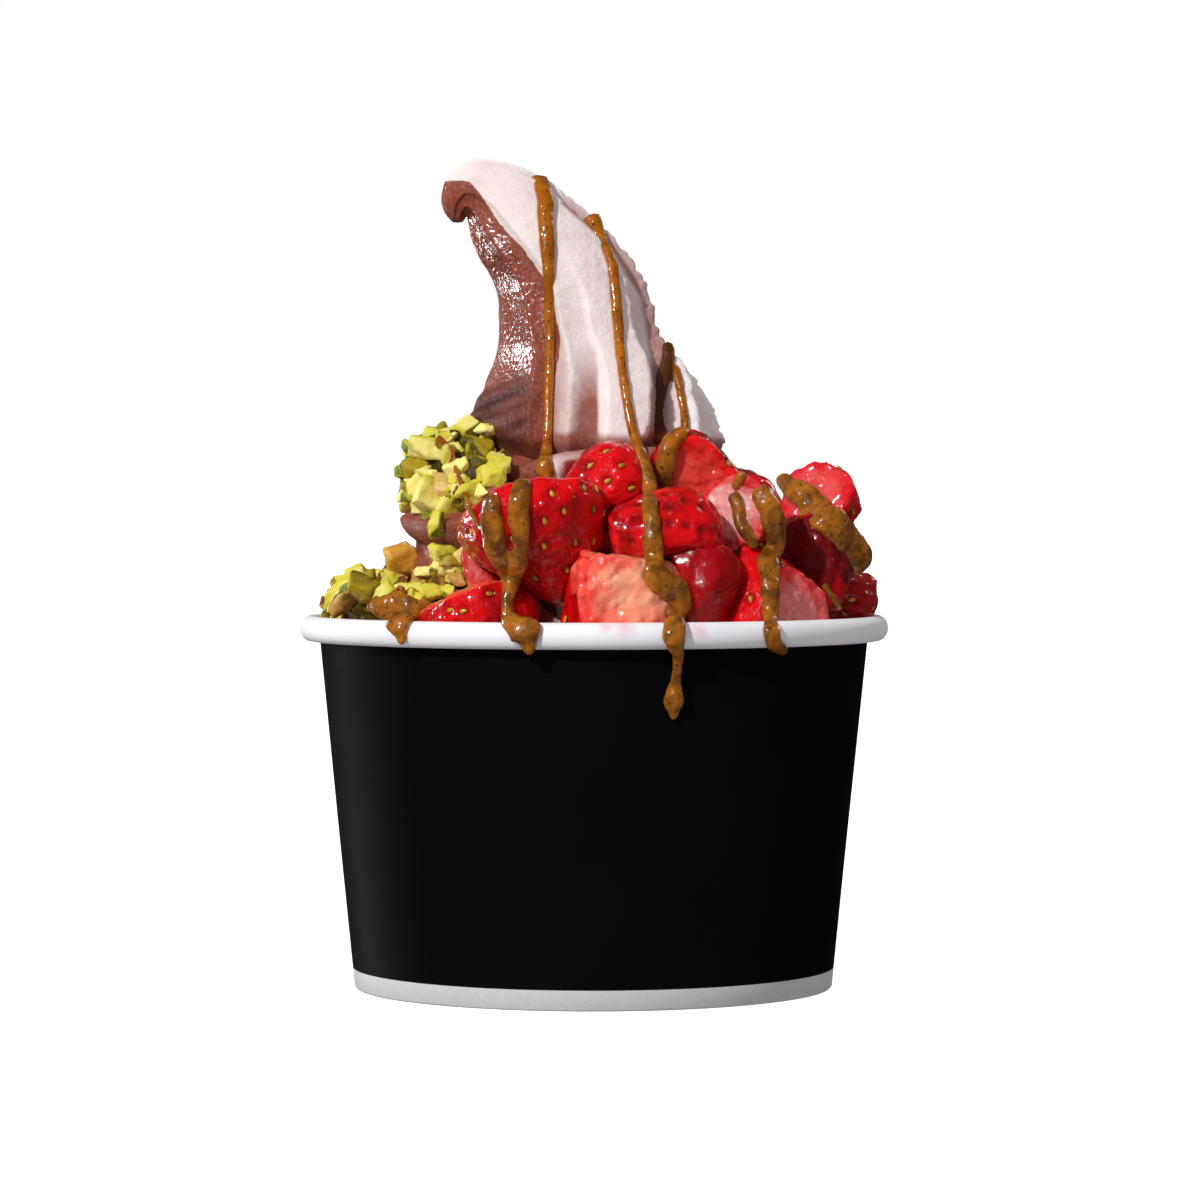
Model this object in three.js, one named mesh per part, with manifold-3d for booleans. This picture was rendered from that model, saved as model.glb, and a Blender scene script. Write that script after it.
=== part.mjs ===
// A twist sundae in a paper cup: two soft-serve flavours pulled into a bent peak,
// cut strawberries, chopped pistachios and a thick sauce that runs over the rim.
// Millimetres. The origin is the middle of the cup's foot, +Z is up and -Y is the front.
import * as THREE from "three";
import { mergeVertices } from "three/addons/utils/BufferGeometryUtils.js";
import { LoftGeometry } from "three/addons/geometries/LoftGeometry.js";
import Module from "manifold-3d";

const wasm = await Module();
wasm.setup();

const gap = 0.3;
const fullTurn = Math.PI * 2;

// Cup: a straight paper cone with a rolled rim, and a raised floor with a skirt.
const cup = {
  height: 60.6,
  footRadius: 38.95,
  flare: 0.1009,
  paper: 0.8,
  rimRadius: 48,
  rollWidth: 3.3,
  rollHeight: 4.1,
  rollSteps: 6,
  rollOpen: 0.17,
  floorTop: 8,
  segments: 48,
  floorSegments: 32,
};

// Soft serve: what fills the cup, one rope laid in two laps, and the peak pulled off the top.
const fill = { shoulder: 56, shoulderRadius: 40, shoulderDrop: 2, top: 61, segments: 28 };
const column = { radius: 21, bottom: 50, top: 90, topRadius: 18.9, segments: 24 };

// The rope's laps run clockwise seen from above. Laps are counted from the front.
const rope = {
  centreX: -0.6,
  laps: [0, 1.25, 2.05],
  radius: [29.2, 19.4, 13.5],
  height: [50.2, 74.4, 77.5],
  tube: [13, 11.7, 10.5],
  ridges: 6,
  ridgeDepth: 0.09,
  stepsPerLap: 14,
  stretch: 0.5,
  overlap: 0.02,
};

// The peak's middle line, as x, height and radius, from inside the rope to the drooping tip.
const peak = [
  [0.65, 74, 16],
  [0.65, 84, 17.6],
  [0.65, 88.4, 20.2],
  [0.65, 91.2, 20.9],
  [-0.33, 99.6, 17],
  [-2.1, 105.9, 13.9],
  [-3.4, 112, 12.1],
  [-5.9, 117.5, 10.8],
  [-9.3, 122.1, 9.3],
  [-12.7, 126.3, 7.5],
  [-15.9, 128.9, 5.9],
  [-19, 129.9, 4.8],
  [-21.3, 128.6, 3.5],
  [-22.4, 126.3, 2.6],
  [-22.6, 124.4, 1.6],
];

// Sharp ridges of the peak: the angle from the front at its foot, and how far it turns by the tip.
const ridges = [
  [-24, 0],
  [-4, 15],
  [17, 42],
  [28, 75],
  [50, 75],
  [90, 70],
  [130, 60],
  [170, 50],
  [210, 40],
  [250, 30],
  [305, 10],
];
const ridgeFoot = 90;
const ridgeRise = 36;
const ridgeSection = [[0, 0], [0.16, 1], [0.6, 0.45]];
const grooveDepth = 0.15;
const tipShare = 0.8;
const peakSteps = 15;

// Where the dark flavour ends: x at each height. Everything to the left of it is dark.
const flavourEdge = [
  [-5, 0],
  [-6, 66],
  [-6.6, 91],
  [-5.6, 105],
  [-8.3, 115.6],
  [-13, 121.8],
  [-16.8, 126.3],
  [-18.8, 129.4],
  [-20.2, 130.8],
  [-32, 131.8],
];

// How far cutting tools reach past the object.
const farOut = 90;

// Cut strawberries: middle, length and width, the way the tip points, and each cut face as
// the way it looks and how far from the middle the knife passed. The first lie uppermost.
const strawberryPieces = [
  ["front_centre", [3, -35.5, 62.5], [24, 20], [-0.75, 0, -0.66],
    [[0, -1, 0.08, 6.3], [0, 1, 0, 3], [0.12, 0, 1, 8.2], [-0.85, -0.45, 0.3, 8.4], [0.7, -0.65, 0.3, 8.6]]],
  ["front_right", [27, -25.6, 62.3], [24, 21], [-0.3, -0.1, 0.95], [[0.75, -0.66, 0.05, 5.3]]],
  ["front_band", [9.5, -30.5, 73.8], [24, 16.5], [-0.9, -0.3, 0.1],
    [[0.1, -0.25, -0.95, 4.2], [0, 1, 0, 2], [-0.95, -0.2, -0.25, 7]]],
  ["front_left", [-7.9, -31, 73.5], [25, 24.5], [0.35, -0.15, -0.93],
    [[-0.15, 0.5, 0.85, 3.6], [0, 1, 0, 1]]],
  ["left_low", [-19.3, -28.6, 60.5], [24, 18], [-0.83, 0.45, -0.2], [[-0.35, 0.1, 0.93, 4]]],
  ["upper_front", [1, -24.3, 80.5], [19, 15], [-0.85, -0.3, -0.35], [[0, 0.6, -0.8, 3]]],
  ["upper_right", [17, -20.5, 81.5], [19, 17], [0.9, -0.1, -0.2], [[0.1, -0.97, -0.2, 2.4]]],
  ["right_shoulder", [24.5, -24, 75.5], [17, 14], [0.6, 0.2, -0.7], [[-0.4, -0.9, 0.1, 4]]],
  ["right_slice", [37.3, -12, 78.3], [17, 13], [0.6, 0.1, -0.8],
    [[-0.35, -0.75, 0.55, 2.2], [0.35, 0.75, -0.55, 2.6]]],
  ["right_deep", [36, -14, 69], [19, 16], [0.3, -0.5, -0.8],
    [[0.8, -0.5, 0.2, 5.5], [-0.15, -0.98, 0.1, 5.4]]],
  ["right_rim", [41, -3.5, 63.8], [17, 12], [0.3, 0.93, 0.1], [[0.25, 0, 0.97, 3.6]]],
  ["front_dark", [16, -31, 64.5], [20, 16], [0.2, -0.2, -0.95], [[-0.2, -0.97, 0.1, 6]]],
  ["front_clear", [-9, -33.5, 63.5], [18, 15], [0.3, -0.1, -0.95], [[-0.2, -0.97, 0.2, 5.5]]],
  ["left_small", [-15.3, -28.8, 67.3], [14, 12.5], [-0.3, -0.2, -0.9], [[-0.5, -0.85, 0.1, 4]]],
  ["right_inner", [31.5, -17, 71], [15, 13], [0.2, 0.1, -0.9], [[0.2, -0.95, 0.15, 4]]],
];

// Strawberries round the back, by turn from the front, distance out and height.
// Every other piece shows its cut face.
const backStrawberries = [
  [104, 34.5, 64.5],
  [127, 34.5, 63.5],
  [151, 35, 64.5],
  [176, 34.5, 63.5],
  [201, 35, 64.5],
  [116, 27.5, 77],
  [147, 27, 75.5],
  [179, 27.5, 77.5],
];
const backStrawberrySize = [22, 18];
const backStrawberryLean = 0.35;
const backCut = { inner: 1.5, outer: 4.5, under: 5.85 };
const berry = { steps: 5, sides: 8, crownwards: 1.6, fullness: 0.6 };

// Chopped pistachios: two banks lying on the rope, and the pieces seen from the front, as x,
// height and size on the upright plane through the cup's axis.
const banks = {
  upper: {
    ring: 23.5, height: 83, tube: 6.4, from: -34, to: -148, hiddenFrom: -84, hiddenPieces: 8, seed: 7,
    pieces: [
      [-22.5, 91.2, 6.5], [-19.1, 90.6, 6.5], [-25.1, 90.1, 6], [-20.9, 89, 6], [-18.6, 87, 6.5],
      [-16.2, 85.2, 6.5], [-17.5, 83.2, 7], [-25.8, 86.7, 7], [-27.8, 84.7, 7],
      [-26.4, 82.2, 7], [-28.4, 80.6, 7], [-23.5, 81.8, 6.5], [-19.6, 80.4, 7], [-25.2, 77.8, 8.5],
      [-22.2, 78.7, 7.5], [-30.6, 80.2, 6.5],
    ],
  },
  lower: {
    ring: 37.2, height: 61, tube: 5, from: -38, to: -150, hiddenFrom: -80, hiddenPieces: 8, seed: 21,
    pieces: [
      [-33.1, 69.2, 6.5], [-29.7, 68.2, 8], [-37.4, 68, 6.5], [-35.2, 66.6, 7], [-38.6, 65.6, 6],
      [-41, 63.9, 6.5], [-42.6, 62.6, 6], [-39.4, 62.6, 7.5], [-33.6, 65.2, 7], [-33.1, 62.8, 7],
      [-29.1, 63.4, 6.5], [-26.2, 63.3, 6], [-23.2, 65, 7], [-23.6, 69.4, 7.5], [-20.6, 69.9, 6.5],
      [-36.3, 63.4, 7],
    ],
  },
};


// One chopped pistachio as shares of its size, and the sizes and slopes of those round the back.
const nut = {
  block: [0.92, 0.8, 0.68],
  round: 0.56,
  roundShare: 0.2,
  uneven: 0.2,
  taper: [1, 0.86, 0.8],
  clearance: 2.6,
  least: 5.5,
  most: 8,
  lowest: -0.35,
  highest: 1.2,
};
const bankRoll = { steps: 8, sides: 6, endShare: 0.6 };

// Sauce: each strand as x, height and width on the upright plane through the axis, seen from
// the front, or turned round the cup by so many degrees. It falls on whatever lies behind.
const viewer = new THREE.Vector3(1.1, -750, 80.3);
const strands = [
  {
    turn: 0,
    path: [[-7.3, 121.8, 1.6], [-7, 107.1, 1.4], [-7.4, 89.1, 1.5], [-7.8, 85.5, 2.5], [-8, 82.4, 2.8]],
  },
  { turn: 0, path: [[-16.3, 78, 3.1], [-16.1, 74.4, 4], [-15, 70.2, 3.4], [-13.7, 67.8, 2.6]] },
  {
    turn: 0,
    path: [[-11.6, 81, 3.1], [-12.2, 76.9, 3.4], [-11.8, 72, 2.8], [-12.6, 67.9, 3.1], [-13.9, 63, 2.4]],
  },
  { turn: 0, path: [[-13.6, 60.6, 2.6], [-12.6, 58.8, 3.8], [-11, 57.4, 4.6], [-10.6, 56, 2.2]] },
  {
    turn: 0,
    path: [
      [0.9, 123.6, 2.4], [2, 120.1, 1.8], [3.1, 116.9, 1.5], [4.7, 100.5, 1.4], [6.4, 90.7, 1.5],
      [8.5, 84.2, 2.2], [9.3, 77.7, 2.6], [9.8, 71.2, 3.1], [10, 67.2, 4], [11.8, 65.1, 5],
      [13.5, 63.2, 5.2],
    ],
  },
  {
    turn: 0,
    path: [
      [13.2, 60.6, 3.8], [13.2, 57.4, 3.6], [13.2, 54.2, 2.2], [13.2, 50.6, 1.8], [13.1, 46.8, 3],
      [13.1, 44.9, 1.8],
    ],
  },
  {
    turn: 0,
    path: [
      [12.9, 101.4, 1.1], [13.9, 95.6, 1.3], [14.4, 90.7, 1.6], [12.4, 88, 2.8], [11.8, 84.2, 2.8],
      [11.6, 80.1, 2.2],
    ],
  },
  {
    turn: 0,
    path: [
      [27.6, 80, 3], [28.6, 78, 3.7], [29.4, 75.4, 4], [29.5, 72, 3.4], [28.7, 69.5, 4], [28.7, 66.3, 3.4],
      [28.6, 63, 2.8],
    ],
  },
  { turn: 0, path: [[28.8, 60.2, 2.8], [29.1, 57, 2.8], [29.1, 55.2, 2]] },
  { turn: 0, path: [[23.4, 79.4, 2.3], [24.2, 75.4, 2.2], [26, 72.3, 2]] },
  { turn: 0, path: [[32.6, 81.2, 2.6], [34.8, 79.6, 3.6], [37.2, 77, 4], [39.3, 74.9, 4], [41.4, 71.8, 4]] },
  { turn: 0, path: [[-25.5, 89, 2.2], [-23.5, 88, 1.4], [-22.5, 84.7, 1.4], [-21.1, 80.6, 1.4]] },
  { turn: 0, path: [[-32, 64.6, 2.4], [-33.6, 62.4, 4.4]] },
  { turn: 0, path: [[-33.6, 60.2, 4.4], [-33.1, 58.6, 3.4]] },
  {
    turn: 90,
    path: [[-4, 112, 1.6], [-3, 104, 1.4], [-5, 92, 1.5], [-7, 84, 2.4], [-6, 76, 3], [-8, 69, 3.6]],
  },
  {
    turn: 170,
    path: [[2, 116, 1.6], [0, 106, 1.4], [2, 94, 1.5], [5, 84, 2.4], [4, 76, 3.2], [6, 67, 3.6]],
  },
  {
    turn: 170,
    path: [[6.4, 60.5, 3.4], [6.6, 57.2, 3.4], [6.6, 54, 2], [6.6, 50.4, 1.8], [6.6, 47.4, 2.8]],
  },
];
const strandStep = 4.6;
const strandOutline = [[1, -0.6], [0.62, 1], [-0.62, 1], [-1, -0.6]];
const strandFlatness = 0.72;
const thickestStrand = 1.5;
const depthBreak = 3.5;
const cling = 2.2;
const strandEnd = { size: 0.45, reach: 0.35 };

const colours = {
  cup_wall: [0x141414, 0.7],
  cup_floor: [0xe8e8ec, 0.8],
  chocolate: [0x6b3226, 0.55],
  vanilla: [0xece0da, 0.5],
  strawberry: [0xb80f10, 0.25],
  pistachio: [0xc9b84c, 0.6],
};

function randomFrom(seed) {
  let state = seed;
  return () => {
    state = (state * 1664525 + 1013904223) % 4294967296;
    return state / 4294967296;
  };
}

function between(low, high, share) {
  return low + (high - low) * share;
}

// Reads a value off a short table by straight lines between its stops.
function along(stops, values, at) {
  let i = 0;
  while (i < stops.length - 2 && at > stops[i + 1]) i += 1;
  return between(values[i], values[i + 1], (at - stops[i]) / (stops[i + 1] - stops[i]));
}

// Turns a closed three.js geometry into a solid with its faces pointing out.
function solid(geometry) {
  const bare = new THREE.BufferGeometry();
  bare.setAttribute("position", geometry.attributes.position);
  bare.setIndex(geometry.index);
  const merged = mergeVertices(bare);
  const corners = Array.from(merged.index.array);
  const triangles = [];
  for (let i = 0; i < corners.length; i += 3) {
    const [a, b, c] = corners.slice(i, i + 3);
    if (a !== b && b !== c && c !== a) triangles.push([a, b, c]);
  }
  const build = (list) => new wasm.Manifold(new wasm.Mesh({
    numProp: 3,
    vertProperties: new Float32Array(merged.attributes.position.array),
    triVerts: new Uint32Array(list.flat()),
  }));
  const body = build(triangles);
  return body.volume() > 0 ? body : build(triangles.map(([a, b, c]) => [a, c, b]));
}

function loft(sections) {
  return solid(new LoftGeometry(sections, { capStart: true, capEnd: true }));
}

function lathe(profile, segments) {
  const geometry = new THREE.LatheGeometry(profile.map(([r, z]) => new THREE.Vector2(r, z)), segments);
  return solid(geometry.rotateX(Math.PI / 2));
}

// Keeps a body's one main piece: loose scraps go and sealed hollows are filled.
function mainPiece(body) {
  return body.decompose().reduce((best, piece) => (piece.volume() > best.volume() ? piece : best));
}

function union(bodies) {
  return bodies.reduce((sum, body) => sum.add(body));
}

function geometryOf(body) {
  const mesh = body.getMesh();
  const geometry = new THREE.BufferGeometry();
  geometry.setAttribute("position", new THREE.BufferAttribute(mesh.vertProperties.slice(), 3));
  geometry.setIndex(new THREE.BufferAttribute(mesh.triVerts.slice(), 1));
  geometry.computeVertexNormals();
  return geometry;
}

function outerWall(z) {
  return cup.footRadius + cup.flare * z;
}

function innerWall(z) {
  return outerWall(z) - cup.paper;
}

// The wall's closed outline, grown all round by the clearance asked for.
function cupWall(grow) {
  const rollX = cup.rimRadius - cup.rollWidth / 2;
  const rollZ = cup.height - cup.rollHeight / 2;
  const profile = [[innerWall(0) - grow, -grow], [outerWall(0) + grow, -grow]];
  for (let i = 0; i <= cup.rollSteps; i += 1) {
    const end = Math.PI * (1 - cup.rollOpen);
    const angle = between(-end, end, i / cup.rollSteps);
    const x = rollX + (cup.rollWidth / 2 + grow) * Math.cos(angle);
    profile.push([x, rollZ + (cup.rollHeight / 2 + grow) * Math.sin(angle)]);
  }
  const lipZ = rollZ + cup.rollHeight / 4;
  profile.push([innerWall(lipZ) - grow, lipZ]);
  profile.push(profile[0]);
  return lathe(profile, cup.segments);
}

function cupFloor() {
  const under = cup.floorTop - cup.paper;
  const side = innerWall(cup.floorTop) - gap;
  const foot = innerWall(0) - gap;
  return lathe([
    [0, cup.floorTop],
    [side, cup.floorTop],
    [foot, 0],
    [foot - cup.paper, 0],
    [innerWall(under) - gap - cup.paper, under],
    [0, under],
  ], cup.floorSegments);
}

function cupFilling(grow) {
  const bottom = cup.floorTop + gap;
  return lathe([
    [0, bottom],
    [innerWall(bottom) - gap, bottom],
    [innerWall(fill.shoulder) - gap, fill.shoulder + grow],
    [fill.shoulderRadius, fill.top - fill.shoulderDrop + grow],
    [fill.shoulderRadius / 2, fill.top + grow],
    [0, fill.top + grow],
  ], fill.segments);
}

// One section of the rope: a low-ridged ring standing across the way the rope runs.
function ropeSection(lap, grow) {
  const turn = -lap * fullTurn - Math.PI / 2;
  const outward = new THREE.Vector3(Math.cos(turn), Math.sin(turn), 0);
  const middle = outward.clone().multiplyScalar(along(rope.laps, rope.radius, lap));
  middle.x += rope.centreX;
  middle.z = along(rope.laps, rope.height, lap);
  const tube = along(rope.laps, rope.tube, lap);
  const points = [];
  for (let i = 0; i < rope.ridges * 2; i += 1) {
    const angle = (i / (rope.ridges * 2)) * fullTurn;
    const reach = tube * (i % 2 ? 1 - rope.ridgeDepth : 1) + grow;
    const point = middle.clone().addScaledVector(outward, reach * Math.cos(angle));
    point.z += reach * Math.sin(angle);
    points.push(point);
  }
  return points;
}

// The rope in half laps, so that no stretch meets itself, and its round end.
function softRope(grow) {
  const last = rope.laps[rope.laps.length - 1];
  const bodies = [];
  for (let start = 0; start < last; start += rope.stretch) {
    const end = Math.min(start + rope.stretch + rope.overlap, last);
    const steps = Math.max(2, Math.round((end - start) * rope.stepsPerLap));
    const sections = [];
    for (let i = 0; i <= steps; i += 1) sections.push(ropeSection(between(start, end, i / steps), grow));
    bodies.push(loft(sections));
  }
  const ending = ropeSection(last, 0).reduce((sum, point) => sum.add(point), new THREE.Vector3());
  ending.divideScalar(rope.ridges * 2);
  const radius = rope.tube[rope.tube.length - 1] + grow;
  const ball = new THREE.SphereGeometry(radius, rope.ridges * 2, rope.ridges);
  bodies.push(solid(ball.translate(ending.x, ending.y, ending.z)));
  return union(bodies);
}

// One section of the peak: each ridge has a sharp crest with a groove close on its right.
function peakSection(curve, radii, share, grow) {
  const middle = curve.getPoint(share);
  const forward = new THREE.Vector3(0, -1, 0);
  const sideways = curve.getTangent(share).cross(forward).normalize();
  const radius = radii.getPoint(share).x + grow;
  const rise = THREE.MathUtils.clamp((middle.z - ridgeFoot) / ridgeRise, 0, 1);
  const past = share > tipShare ? 1 : rise;
  const crests = ridges.map(([foot, turn]) => foot + turn * past);
  const points = [];
  crests.forEach((crest, i) => {
    const next = i + 1 < crests.length ? crests[i + 1] : crests[0] + 360;
    ridgeSection.forEach(([step, depth]) => {
      const angle = THREE.MathUtils.degToRad(between(crest, next, step));
      const reach = radius * (1 - depth * grooveDepth);
      const point = middle.clone().addScaledVector(forward, reach * Math.cos(angle));
      points.push(point.addScaledVector(sideways, reach * Math.sin(angle)));
    });
  });
  return points;
}

function softPeak(grow) {
  const curve = new THREE.CatmullRomCurve3(peak.map(([x, z]) => new THREE.Vector3(x, 0, z)));
  const radii = new THREE.CatmullRomCurve3(peak.map(([x, z, radius]) => new THREE.Vector3(radius, x, z)));
  const sections = [];
  for (let i = 0; i <= peakSteps; i += 1) sections.push(peakSection(curve, radii, i / peakSteps, grow));
  return loft(sections);
}

function softServe(grow) {
  const { radius, bottom, top, topRadius, segments } = column;
  const inner = lathe([[0, bottom], [radius, bottom], [topRadius, top], [0, top]], segments);
  return mainPiece(union([cupFilling(grow), softRope(grow), softPeak(grow), inner]));
}

// All that lies to the left of the flavour edge, moved right by so much.
function darkSide(shift) {
  const shape = new THREE.Shape();
  shape.moveTo(-farOut, flavourEdge[0][1]);
  flavourEdge.forEach(([x, z]) => shape.lineTo(x + shift, z));
  shape.lineTo(-farOut, flavourEdge[flavourEdge.length - 1][1]);
  const depth = farOut * 2;
  const geometry = new THREE.ExtrudeGeometry(shape, { depth, bevelEnabled: false });
  return solid(geometry.rotateX(Math.PI / 2).translate(0, depth / 2, 0));
}

// What a knife takes off beyond a plane that looks along the normal.
function knife(middle, normal, offset) {
  const geometry = new THREE.BoxGeometry(farOut * 2, farOut * 2, farOut);
  const way = new THREE.Vector3(...normal).normalize();
  geometry.applyQuaternion(new THREE.Quaternion().setFromUnitVectors(new THREE.Vector3(0, 0, 1), way));
  const place = new THREE.Vector3(...middle).addScaledVector(way, offset + farOut / 2);
  return solid(geometry.translate(place.x, place.y, place.z));
}

function strawberry([, middle, [length, width], tip, cuts], grow) {
  const profile = [];
  for (let i = 0; i <= berry.steps; i += 1) {
    const t = i / berry.steps;
    const fullness = Math.sin(Math.PI * t ** berry.crownwards) ** berry.fullness;
    profile.push(new THREE.Vector2((width / 2 + grow) * fullness, (t - 0.5) * (length + grow * 2)));
  }
  profile[0].x = 0;
  profile[berry.steps].x = 0;
  const geometry = new THREE.LatheGeometry(profile, berry.sides);
  const way = new THREE.Vector3(...tip).normalize();
  geometry.applyQuaternion(new THREE.Quaternion().setFromUnitVectors(new THREE.Vector3(0, -1, 0), way));
  let body = solid(geometry.translate(...middle));
  cuts.forEach(([x, y, z, offset]) => {
    body = body.subtract(knife(middle, [x, y, z], offset + grow));
  });
  return body;
}

function backPieces() {
  return backStrawberries.map(([degrees, radius, height], i) => {
    const turn = THREE.MathUtils.degToRad(degrees);
    const out = [Math.sin(turn), -Math.cos(turn)];
    const side = i % 2 ? 1 : -1;
    const tip = [out[1] * side, -out[0] * side, i % 3 ? backStrawberryLean : -backStrawberryLean * 2];
    const cuts = i % 2
      ? [[out[0], out[1], backStrawberryLean, backCut.outer], [-out[0], -out[1], 0, backCut.outer]]
      : [[-out[0], -out[1], 0, backCut.inner], [0, 0, -1, backCut.under]];
    return [`back_${i + 1}`, [out[0] * radius, out[1] * radius, height], backStrawberrySize, tip, cuts];
  });
}

// A chopped pistachio: a block with uneven corners, or a rounder bit.
function nutPiece(middle, size, random, grow) {
  const round = random() < nut.roundShare;
  const geometry = round ? new THREE.IcosahedronGeometry(nut.round, 0) : new THREE.BoxGeometry(...nut.block);
  const place = geometry.attributes.position;
  const moved = new Map();
  for (let i = 0; i < place.count; i += 1) {
    const key = [place.getX(i), place.getY(i), place.getZ(i)].map((value) => value.toFixed(3)).join();
    if (!moved.has(key)) moved.set(key, [0, 0, 0].map(() => 1 + between(-nut.uneven, nut.uneven, random())));
    const [a, b, c] = moved.get(key);
    place.setXYZ(i, place.getX(i) * a, place.getY(i) * b, place.getZ(i) * c);
  }
  geometry.scale(...nut.taper.map((share) => size * share + grow * nut.clearance));
  geometry.rotateX(random() * fullTurn).rotateY(random() * fullTurn).rotateZ(random() * fullTurn);
  return solid(geometry.translate(middle.x, middle.y, middle.z));
}

function firstHit(targets, x, z, turn) {
  const aim = THREE.MathUtils.degToRad(turn);
  const up = new THREE.Vector3(0, 0, 1);
  const eye = viewer.clone().applyAxisAngle(up, aim);
  const target = new THREE.Vector3(x, 0, z).applyAxisAngle(up, aim);
  const ray = new THREE.Raycaster(eye, target.sub(eye).normalize());
  const hit = ray.intersectObjects(targets, false)[0];
  return hit && { ...hit, toViewer: ray.ray.direction.clone().negate() };
}

function meshFor(name, body) {
  const mesh = new THREE.Mesh(geometryOf(body), new THREE.MeshBasicMaterial());
  mesh.name = name;
  return mesh;
}

// The bank's bare body: a bent roll lying on the rope's shoulder.
function bankCore(bank, grow) {
  const sections = [];
  for (let i = 0; i <= bankRoll.steps; i += 1) {
    const turn = THREE.MathUtils.degToRad(between(bank.from, bank.to, i / bankRoll.steps));
    const out = new THREE.Vector3(Math.sin(turn), -Math.cos(turn), 0);
    const tube = bank.tube * (i % bankRoll.steps === 0 ? bankRoll.endShare : 1) + grow;
    const points = [];
    for (let j = 0; j < bankRoll.sides; j += 1) {
      const angle = (j / bankRoll.sides) * fullTurn;
      const point = out.clone().multiplyScalar(bank.ring + tube * Math.cos(angle));
      point.z = bank.height + tube * Math.sin(angle);
      points.push(point);
    }
    sections.push(points);
  }
  return loft(sections);
}

function nutPlaces(bank, surface, random) {
  const places = [];
  bank.pieces.forEach(([x, z, size]) => {
    const hit = firstHit(surface, x, z, 0);
    const place = hit ? hit.point : new THREE.Vector3(x, 0, z);
    places.push([place, size]);
  });
  for (let i = 0; i < bank.hiddenPieces; i += 1) {
    const degrees = between(bank.hiddenFrom, bank.to, (i + 0.5) / bank.hiddenPieces);
    const turn = THREE.MathUtils.degToRad(degrees);
    const steep = between(nut.lowest, nut.highest, ((i * 3) % 5) / 4 + nut.uneven * random());
    const out = bank.ring + bank.tube * Math.cos(steep);
    const place = new THREE.Vector3(Math.sin(turn) * out, -Math.cos(turn) * out, 0);
    place.z = bank.height + bank.tube * Math.sin(steep);
    places.push([place, between(nut.least, nut.most, random())]);
  }
  return places;
}

function nutBank(bank, places, grow) {
  const random = randomFrom(bank.seed);
  const bodies = [bankCore(bank, grow)];
  places.forEach(([place, size]) => bodies.push(nutPiece(place, size, random, grow)));
  return union(bodies);
}

// Walks a strand and breaks it into runs that lie on one piece each.
function strandRuns(strand, targets) {
  const places = strand.path.map(([x, z, width]) => new THREE.Vector3(x, width, z));
  const spine = new THREE.CatmullRomCurve3(places);
  const steps = Math.max(2, Math.round(spine.getLength() / strandStep));
  const runs = [];
  let run = null;
  for (let i = 0; i <= steps; i += 1) {
    const stop = spine.getPoint(i / steps);
    const hit = firstHit(targets, stop.x, stop.z, strand.turn);
    if (!hit) {
      run = null;
      continue;
    }
    const before = run && run.stops[run.stops.length - 1].point;
    if (!run || run.host !== hit.object.name || before.distanceTo(hit.point) > strandStep + depthBreak) {
      run = { host: hit.object.name, stops: [] };
      runs.push(run);
    }
    const point = hit.point.clone();
    if (run.host === "cup_wall" && before && run.stops.length) holdOut(point, before);
    const normal = hit.face.normal.clone().add(hit.toViewer).normalize();
    run.stops.push({ point, normal, width: stop.y });
  }
  return runs.filter((each) => each.stops.length > 1);
}

// Past the rim a drop leaves the roll slowly and comes back to the wall below it.
function holdOut(point, before) {
  const reach = Math.hypot(point.x, point.y);
  const least = Math.hypot(before.x, before.y) - cling;
  if (reach < least) {
    point.x *= least / reach;
    point.y *= least / reach;
  }
}

function strandBody(stops, grow) {
  const last = stops.length - 1;
  const sections = [];
  const ring = (i, shrink, push) => {
    const { point, normal, width } = stops[i];
    const ahead = stops[Math.min(i + 1, last)].point;
    const tangent = ahead.clone().sub(stops[Math.max(i - 1, 0)].point).normalize();
    const across = normal.clone().cross(tangent).normalize();
    const lift = tangent.clone().cross(across);
    const half = (width / 2) * shrink + grow;
    const thick = Math.min((width / 2) * strandFlatness, thickestStrand) * shrink + grow;
    const points = [];
    strandOutline.forEach(([sideways, up]) => {
      const place = point.clone().addScaledVector(across, half * sideways);
      points.push(place.addScaledVector(lift, thick * up).addScaledVector(tangent, push));
    });
    sections.push(points);
  };
  ring(0, strandEnd.size, -stops[0].width * strandEnd.reach - grow);
  for (let i = 0; i <= last; i += 1) ring(i, 1, 0);
  ring(last, strandEnd.size, stops[last].width * strandEnd.reach + grow);
  return loft(sections);
}

// Lays every strand on its hosts. A run keeps clear of the other pieces and of their sauce.
function addSauce(nodes) {
  const targets = [...nodes].map(([name, { body }]) => meshFor(name, body));
  const laid = [];
  strands.forEach((strand) => {
    strandRuns(strand, targets).forEach(({ host, stops }) => {
      let body = strandBody(stops, 0);
      nodes.forEach(({ grown }, name) => {
        if (name !== host) body = body.subtract(grown);
      });
      laid.forEach((other) => {
        if (other.host !== host) body = body.subtract(other.grown);
      });
      laid.push({ host, body, grown: strandBody(stops, gap) });
    });
  });
  laid.forEach(({ host, body }) => {
    const node = nodes.get(host);
    node.body = node.body.add(body);
  });
  nodes.forEach((node) => {
    node.body = mainPiece(node.body);
  });
}

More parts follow.
